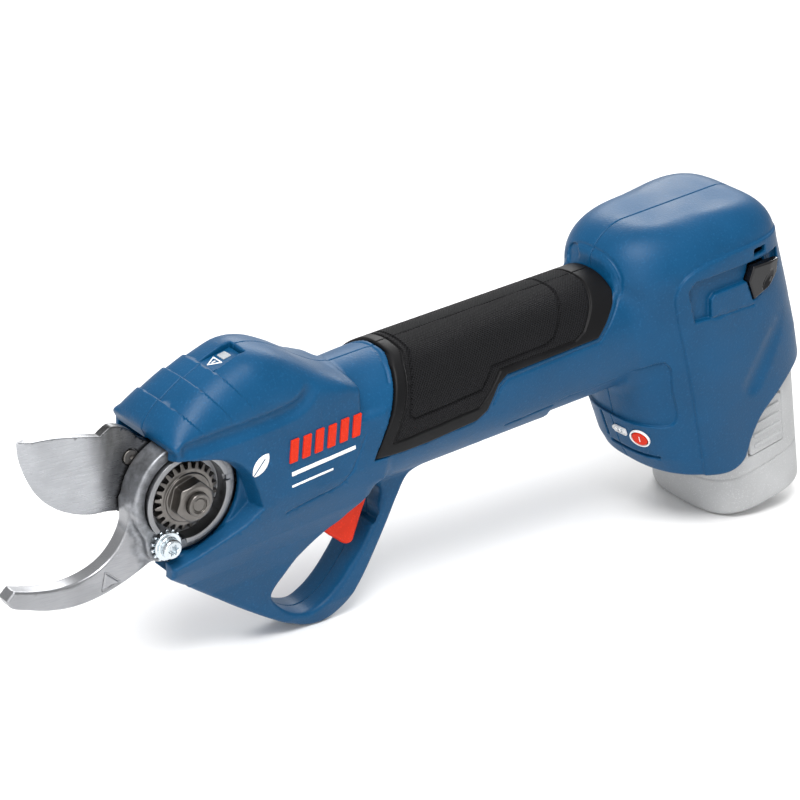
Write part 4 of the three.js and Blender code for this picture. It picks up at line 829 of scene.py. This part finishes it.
def radial_teeth(b, centre, count, inner, outer, turn):
    """A disc with pointed teeth round it."""
    dx = b.x - centre[0]
    dz = b.z - centre[1]
    turned = np.arctan2(dz, dx) - turn
    wave = np.abs(((turned * count / (2 * math.pi)) % 1) - 0.5) * 2
    edge = inner + (outer - inner) * between(wave, 0.36, 0.72)
    return (np.hypot(dx, dz) - edge) * 0.8


def hexagon(b, half_flats, turn):
    sides = [b.x * math.cos(turn + i * math.pi / 3) + b.z * math.sin(turn + i * math.pi / 3)
             for i in range(6)]
    return np.maximum.reduce(sides) - half_flats


def pivot_set():
    b = Block((-13.2, -18.8, -13.2), (13.2, -8.4, 13.2), 0.2)
    r = np.hypot(b.x, b.z)
    teeth = both(radial_teeth(b, (0, 0), 24, 10.1, 12.2, LOCK_ANGLE + math.pi / 24),
                 slab(b.y, -12.6, -9))
    teeth = both(teeth, -b.y - 12.6 + np.maximum(r - 9.6, 0) * 0.35, 0.15)
    hub = both(r - 8.6, slab(b.y, -13.3, -9), 0.4)
    flats = both(hexagon(b, 6.5, 0.2 + math.pi / 6), slab(b.y, -18.2, -12.6), 0.1)
    chamfer = (r - 7.25 + np.maximum(-b.y - 17.2, 0) * 1.4) * 0.75
    flats = both(flats, chamfer, 0.2)
    form = without(joined(joined(teeth, hub, 0.3), flats, 0.25), r - BOLT_HOLE_RADIUS)
    fitted("fine_pivot_nut", b, form, nut_steel, ("housing", "dark_steel", "pivot_nut"))
    s = Block((-9.6, -20.6, -9.6), (9.6, 17.0, 9.6), 0.25)
    r = np.hypot(s.x, s.z)
    shank = both(r - 4, slab(s.y, -20, 14), 0.5)
    head = both(r - 9, slab(s.y, 13, 16.4), 0.7)
    form = joined(shank, head, 0.3)
    groove = both(slab(r, 2.25, 2.75), s.y + 19.3)
    dish = both(r - 2.3, s.y + 19.6)
    form = without(without(form, groove, 0.1), dish, 0.1)
    fitted("fine_pivot_bolt", s, form, nut_steel, ("housing", "dark_steel", "pivot_bolt"))


def lock_set():
    x, z = LOCK_AT
    b = Block((x - 7, -18, z - 7), (x + 7, -3.4, z + 7), 0.16)
    r = np.hypot(b.x - x, b.z - z)
    teeth = both(radial_teeth(b, LOCK_AT, 14, 4.3, 5.7, LOCK_ANGLE + math.pi),
                 slab(b.y, -12.9, -11.9), 0.12)
    fitted("fine_star_washer", b, without(teeth, r - 2.0), zinc,
           ("housing", "zinc_steel", "lock_star_washer"))
    shank = both(r - 1.6, slab(b.y, -14, -4), 0.3)
    flange = both(r - 5.0, slab(b.y, -14.1, -13.2), 0.35)
    head = both(r - 3.4, slab(b.y, -17.2, -13.4), 0.9)
    form = joined(joined(flange, head, 0.5), shank, 0.2)
    turned = np.arctan2(b.z - z, b.x - x)
    star = r - 1.62 - 0.38 * np.cos(6 * turned)
    form = without(form, both(star * 0.8, b.y + 15.6), 0.15)
    fitted("fine_lock_screw", b, form, zinc, ("housing", "zinc_steel", "lock_screw"))


# ---- trigger, panel pieces and marks ----
TRIGGER_SIDE = smooth([(53, -30), (54.5, -35), (58, -39.5), (62, -43.4), (65.4, -46.4),
                       (68, -46.4), (70, -42.6), (72.6, -36.6), (75.4, -30.6), (75.8, -26.6),
                       (72.6, -25), (66, -24.4), (61.5, -22), (57.5, -20.9), (53.6, -23.4)])


def trigger():
    b = Block((50, -8, -48.5), (76, 8, -19), 0.25)
    side = outline(b.x, b.z, TRIGGER_SIDE)
    form = both(side, np.abs(b.y) - TRIGGER_HALF_WIDTH, 1.5)
    well = outline(b.x, b.z, [(68, -22), (79, -22), (75, -33), (72.8, -38), (68, -34)])
    form = without(form, both(well, np.abs(b.y) - 5.4), 0.4)
    pin = np.hypot(b.x - TRIGGER_PIN[0], b.z - TRIGGER_PIN[1])
    form = without(form, both(pin - 4.6, np.abs(b.y) - 3.4))
    form = without(form, pin - 1.56)
    fitted("fine_trigger", b, form, red, ("trigger", "red_plastic", "trigger"))


def facing(at, out, up=(0, 0, 1)):
    """A place on a wall: its Z points out, and its Y as nearly up as it can."""
    z = Vector(out).normalized()
    x = Vector(up).cross(z).normalized()
    y = z.cross(x)
    made = Matrix((x, y, z)).transposed().to_4x4()
    made.translation = Vector(at)
    return made


def control_panel():
    wall = facing(BUTTON_AT, BUTTON_OUT)
    b = Block((-6, -6, -4), (6, 6, 1.6), 0.14)
    r = np.hypot(b.x, b.y)
    cap = both(r - 3.2, slab(b.z, -3.4, 0.6), 0.5)
    cap = without(cap, both(slab(b.x, -0.28, 0.28), both(slab(b.y, -1.5, 1.5), 0.42 - b.z)), 0.05)
    fitted("fine_power_button", b, cap, red, ("power_button", "red_plastic", "power_button"), wall)
    bar = both(both(slab(b.x, -0.24, 0.24), slab(b.y, -1.45, 1.45)), slab(b.z, 0.0, 0.5), 0.05)
    fitted("button_bar", b, bar, white, ("power_button", "grey_plastic"), wall)
    ring = both(slab(r, 3.55, 4.15), slab(b.z, -0.5, 0.42), 0.1)
    fitted("button_ring", b, ring, white, ("housing", "grey_plastic"), wall)
    wall = facing(GAUGE_AT, GAUGE_OUT)
    b = Block((-5, -3, -2.2), (5, 3, 0.9), 0.12)
    body = both(slab(b.x, -2.9, 2.9), slab(b.y, -1.5, 1.5), 0.4)
    pip = both(slab(b.x, -3.7, -2.8), slab(b.y, -0.7, 0.7), 0.2)
    frame_line = both(np.abs(joined(body, pip)) - 0.15, slab(b.z, -0.5, 0.42))
    bars = np.minimum.reduce([both(slab(b.x, c - 0.4, c + 0.4), slab(b.y, -0.95, 0.95))
                              for c in (-1.8, 0.0, 1.8)])
    bars = both(bars, slab(b.z, -0.5, 0.4))
    fitted("gauge_mark", b, joined(frame_line, bars), white, ("housing", "grey_plastic"), wall)
    pane = both(both(slab(b.x, -1.8, 1.8), slab(b.y, -2.4, 2.4)), slab(b.z, -2.0, -0.6), 0.15)
    fitted("fine_gauge_window", b, pane, lens, ("housing", "clear_lens", "gauge_window"), wall)


def key_clip():
    b = Block((230.6, -31.2, 0), (248.6, -25.8, 16.4), 0.16)
    side = outline(b.x, b.z, KEY_CLIP)
    form = both(side + 0.1, slab(b.y, -30.5, -26.5), 0.9)
    form = both(form, (-b.y - 30.5 + np.maximum(b.x - 242, 0) * 0.22) * 0.98, 0.3)
    scoop = np.sqrt(((b.x - 241.4) * 1.0 + (b.z - 7.4) * -0.55) ** 2 * 1.3
                    + ((b.z - 7.6) * 0.7) ** 2 + (b.y + 32.6) ** 2) - 3.4
    form = without(form, scoop, 0.2)
    fitted("fine_key_clip", b, form, gloss_black, ("housing", "black_plastic", "key_clip"))


def side_plate(name, points, low, high, look, slot, body="housing", voxel=0.14):
    """A thin raised mark on the flat side of the head."""
    xs, zs = zip(*points)
    b = Block((min(xs) - 0.6, low - 0.4, min(zs) - 0.6), (max(xs) + 0.6, high + 0.4, max(zs) + 0.6),
              voxel)
    form = both(outline(b.x, b.z, points), slab(b.y, low, high), 0.12)
    fitted(name, b, form, look, (body, slot))


def marks():
    """Plain marks in the places of the maker's: slanted bars, thin lines and a leaf."""
    for i in range(6):
        x = 35.6 + i * 5.1
        lift = 0.10 * i
        tall = 8.2 - 0.3 * (i % 2)
        bar = [(x, 2.2 + lift), (x + 3.1, 2.3 + lift), (x + 4.3, 2.3 + tall + lift),
               (x + 1.2, 2.2 + tall + lift)]
        side_plate("mark_bar_%d" % (i + 1), bar, -20.2, -19.1, red, "red_plastic")
    for i, (x0, x1, z, thick) in enumerate(((36.4, 62.5, -3.0, 1.5), (36.2, 53.0, -7.2, 0.8))):
        slope = 0.12
        bar = [(x0, z), (x1, z + slope * (x1 - x0) * 0.3), (x1, z + slope * (x1 - x0) * 0.3 + thick),
               (x0, z + thick)]
        side_plate("mark_line_%d" % (i + 1), bar, -19.75, -19.1, white, "grey_plastic")
    b = Block((19, -20.1, 0), (30.4, -18.8, 11.4), 0.12)
    lobes = [np.hypot(b.x - 24.6 - 2.2 * turn, b.z - 5.6 + 2.2 * turn) - 5.6 for turn in (-1, 1)]
    leaf = both(both(lobes[0], lobes[1]), slab(b.y, -19.72, -19.2), 0.1)
    rib = path(b.x, b.z, [(19.5, 0.5), (26.2, 7.2)]) - 0.26
    fitted("mark_leaf", b, without(leaf, rib), white, ("housing", "grey_plastic"))


def indicator():
    b = Block((16.4, -7, 35.6), (30.4, 3.2, 41.2), 0.16)
    slope = (b.z - 37.2 - 0.13 * (b.x - 17.0) - 0.25) * 0.99
    floor = both(both(slab(b.x, 17.0, 29.5), slab(b.y, -6.0, 2.2)), both(slope, 36.0 - b.z), 0.15)
    fitted("fine_indicator_panel", b, floor, blue, ("housing", "blue_plastic", "indicator_panel"))
    top = 37.45 + 0.13 * (b.x - 17.0)
    lamp = both(both(slab(b.x, 23.6, 26.8), slab(b.y, -2.9, 1.1)), b.z - top - 0.28, 0.1)
    fitted("fine_status_light", b, both(lamp, top - 0.4 - b.z), lens,
           ("housing", "clear_lens", "status_light"))
    triangle = [(18.3, -1.5), (22.2, 0.9), (22.2, -3.9)]
    sign = np.abs(outline(b.x, b.y, triangle)) - 0.22
    dot = both(slab(b.x, 19.9, 21.4), slab(b.y, -1.75, -1.25))
    sign = both(joined(sign, dot), np.abs(b.z - top) - 0.25)
    fitted("status_sign", b, sign, white, ("housing", "grey_plastic"))


def housing_screws():
    for i, (x, z, half) in enumerate(HOUSING_SCREWS):
        b = Block((x - 3.4, half - 4.6, z - 3.4), (x + 3.4, half - 0.2, z + 3.4), 0.16)
        r = np.hypot(b.x - x, b.z - z)
        head = both(r - 2.8, slab(b.y, half - 2.9, half - 0.8), 0.7)
        shank = both(r - 1.3, slab(b.y, half - 4.2, half - 1.2))
        turned = np.arctan2(b.z - z, b.x - x)
        star = both((r - 1.15 - 0.3 * np.cos(6 * turned)) * 0.8, half - 2.2 - b.y)
        piece, _ = carved("fine_screw_%d" % (i + 1), b, without(joined(head, shank), star, 0.1),
                          nut_steel.material)
        rides(piece, "housing", "dark_steel", "housing_screw_%d" % (i + 1))


# ---- battery pack, in its own leaning frame ----
LEANING = Matrix.Translation(BATTERY_FOOT) @ Matrix.Rotation(-math.radians(BATTERY_LEAN), 4, "Y")


def battery_pack():
    b = Block((-26, -28, -1), (26, 28, 89), 0.5)
    wide = oblong(b.x, b.y, BATTERY_HALF_DEPTH, BATTERY_HALF_WIDTH, 3)
    wide = both(both(wide, -b.z, 3.0), b.z - SHOULDER, 2.2)
    stem = oblong(b.x - STEM_FORWARD, b.y, STEM_HALF_DEPTH, STEM_HALF_WIDTH, 3)
    case = joined(wide, both(stem, slab(b.z, SHOULDER - 6, CASE_TOP)), 1.5)
    seam = both(np.abs(b.z - 18 - 0.06 * b.x) - 0.3, -(wide + 0.5))
    case = without(case, seam, 0.2)
    hollow = both(oblong(b.x - STEM_FORWARD * 0.5, b.y, 17.2, 18.4, 3), slab(b.z, 8, 95))
    case = without(case, hollow)
    for side in (-1, 1):
        seat = both(slab(b.x, -9.3, 8.3), slab(b.z, 24.7, 46.3))
        case = without(case, both(seat, 22.9 - side * b.y), 0.4)
        for i in range(5):
            rib = path(b.x, b.z, [(-16, 50.5 - i * 4.4), (-11.5, 52 - i * 4.4)])
            case = joined(case, both(rib - 0.7, slab(side * b.y, 20, 25.6)), 0.3)
    fitted("fine_battery_case", b, case, grey,
           ("battery", "grey_plastic", "battery_case"), LEANING, merge=0.01)
    cap = both(stem, slab(b.z, CASE_TOP + 0.3, CASE_TOP + 7.4), 1.0)
    for side in (-1, 1):
        blade_slot = both(slab(b.x, -3.2, 3.2), slab(side * b.y, 8.6, 11.4))
        cap = without(cap, both(blade_slot, CASE_TOP - b.z), 0.2)
    fitted("fine_battery_cap", b, cap, grey,
           ("battery", "grey_plastic", "battery_cap"), LEANING, merge=0.01)
    for word, side in (("left", -1), ("right", 1)):
        c = Block((-10, 23, 24), (9, 28, 47), 0.2)
        button = both(both(slab(c.x, -9, 8), slab(c.z, 25, 46), 1.2), slab(c.y, 24.2, 26.1), 0.5)
        for i in range(4):
            rib = both(slab(c.x, -7, 6.5), slab(c.z, 28 + i * 4.4, 29.6 + i * 4.4), 0.5)
            button = joined(button, both(rib, slab(c.y, 24.5, 26.8), 0.4), 0.3)
        fitted("fine_release_" + word, c, button, grey,
               ("release_" + word, "grey_plastic", "release_button_" + word), LEANING, mirrored=side < 0)


# ---- camera, light and floor ----
VIEW_AZIMUTH = 35.974
VIEW_ELEVATION = 28.062
VIEW_ROLL = 2.447
VIEW_DISTANCE = 900
VIEW_AIM = (60.245, -49.044, 29.151)
LENS = 126.0
SENSOR = 36.0


def camera():
    """Looks at the tool from its nut side, from ahead and above."""
    azimuth = math.radians(VIEW_AZIMUTH)
    elevation = math.radians(VIEW_ELEVATION)
    roll = math.radians(VIEW_ROLL)
    back = Vector((-math.sin(azimuth) * math.cos(elevation),
                   -math.cos(azimuth) * math.cos(elevation), math.sin(elevation)))
    level = Vector((math.cos(azimuth), -math.sin(azimuth), 0))
    over = back.cross(level)
    right = level * math.cos(roll) - over * math.sin(roll)
    up = back.cross(right)
    eye = Vector(VIEW_AIM) + back * VIEW_DISTANCE
    turn = Matrix((right, up, back)).transposed().to_4x4()
    turn.translation = eye * 0.001
    data = bpy.data.cameras.new("camera")
    data.sensor_width = SENSOR
    data.lens = LENS
    data.clip_start = 0.01
    made = bpy.data.objects.new("camera", data)
    made.matrix_world = HANDLE @ turn
    bpy.context.scene.collection.objects.link(made)
    bpy.context.scene.camera = made


def soft_light(name, at, aim, size, power, tint=(1, 1, 1)):
    data = bpy.data.lights.new(name, "AREA")
    data.shape = "RECTANGLE"
    data.size, data.size_y = size
    data.energy = power
    data.color = tint
    made = bpy.data.objects.new(name, data)
    made.location = at
    made.rotation_euler = (Vector(aim) - Vector(at)).to_track_quat("-Z", "Y").to_euler()
    bpy.context.scene.collection.objects.link(made)


def studio():
    size = 6.0
    mesh = bpy.data.meshes.new("floor")
    mesh.from_pydata([(-size, -size, 0), (size, -size, 0), (size, size, 0), (-size, size, 0)], [],
                     [(0, 1, 2, 3)])
    floor = bpy.data.objects.new("floor", mesh)
    bpy.context.scene.collection.objects.link(floor)
    pale = Look("pale_floor", (0.86, 0.86, 0.86), 0.9)
    pale.into("Roughness", pale.ranged(pale.noise(3, 2.0), 0, 1, 0.86, 0.94))
    mesh.materials.append(pale.material)
    world = bpy.data.worlds.new("studio")
    world.use_nodes = True
    world.node_tree.nodes["Background"].inputs["Color"].default_value = (1, 1, 1, 1)
    world.node_tree.nodes["Background"].inputs["Strength"].default_value = 0.66
    bpy.context.scene.world = world
    soft_light("key", (-0.45, -0.35, 1.1), (0, 0, 0.06), (0.7, 0.5), 18)
    soft_light("fill", (-0.9, -1.0, 0.45), (0, 0, 0.06), (0.9, 0.6), 5)
    soft_light("rim", (0.7, 0.8, 0.7), (0, 0, 0.08), (0.8, 0.4), 8)
    bpy.context.scene.view_settings.view_transform = "Standard"


camera()
studio()
housing_shells()
grips()
cutting_blade()
counter_blade()
clamp_ring()
pivot_set()
lock_set()
trigger()
control_panel()
key_clip()
marks()
indicator()
housing_screws()
battery_pack()
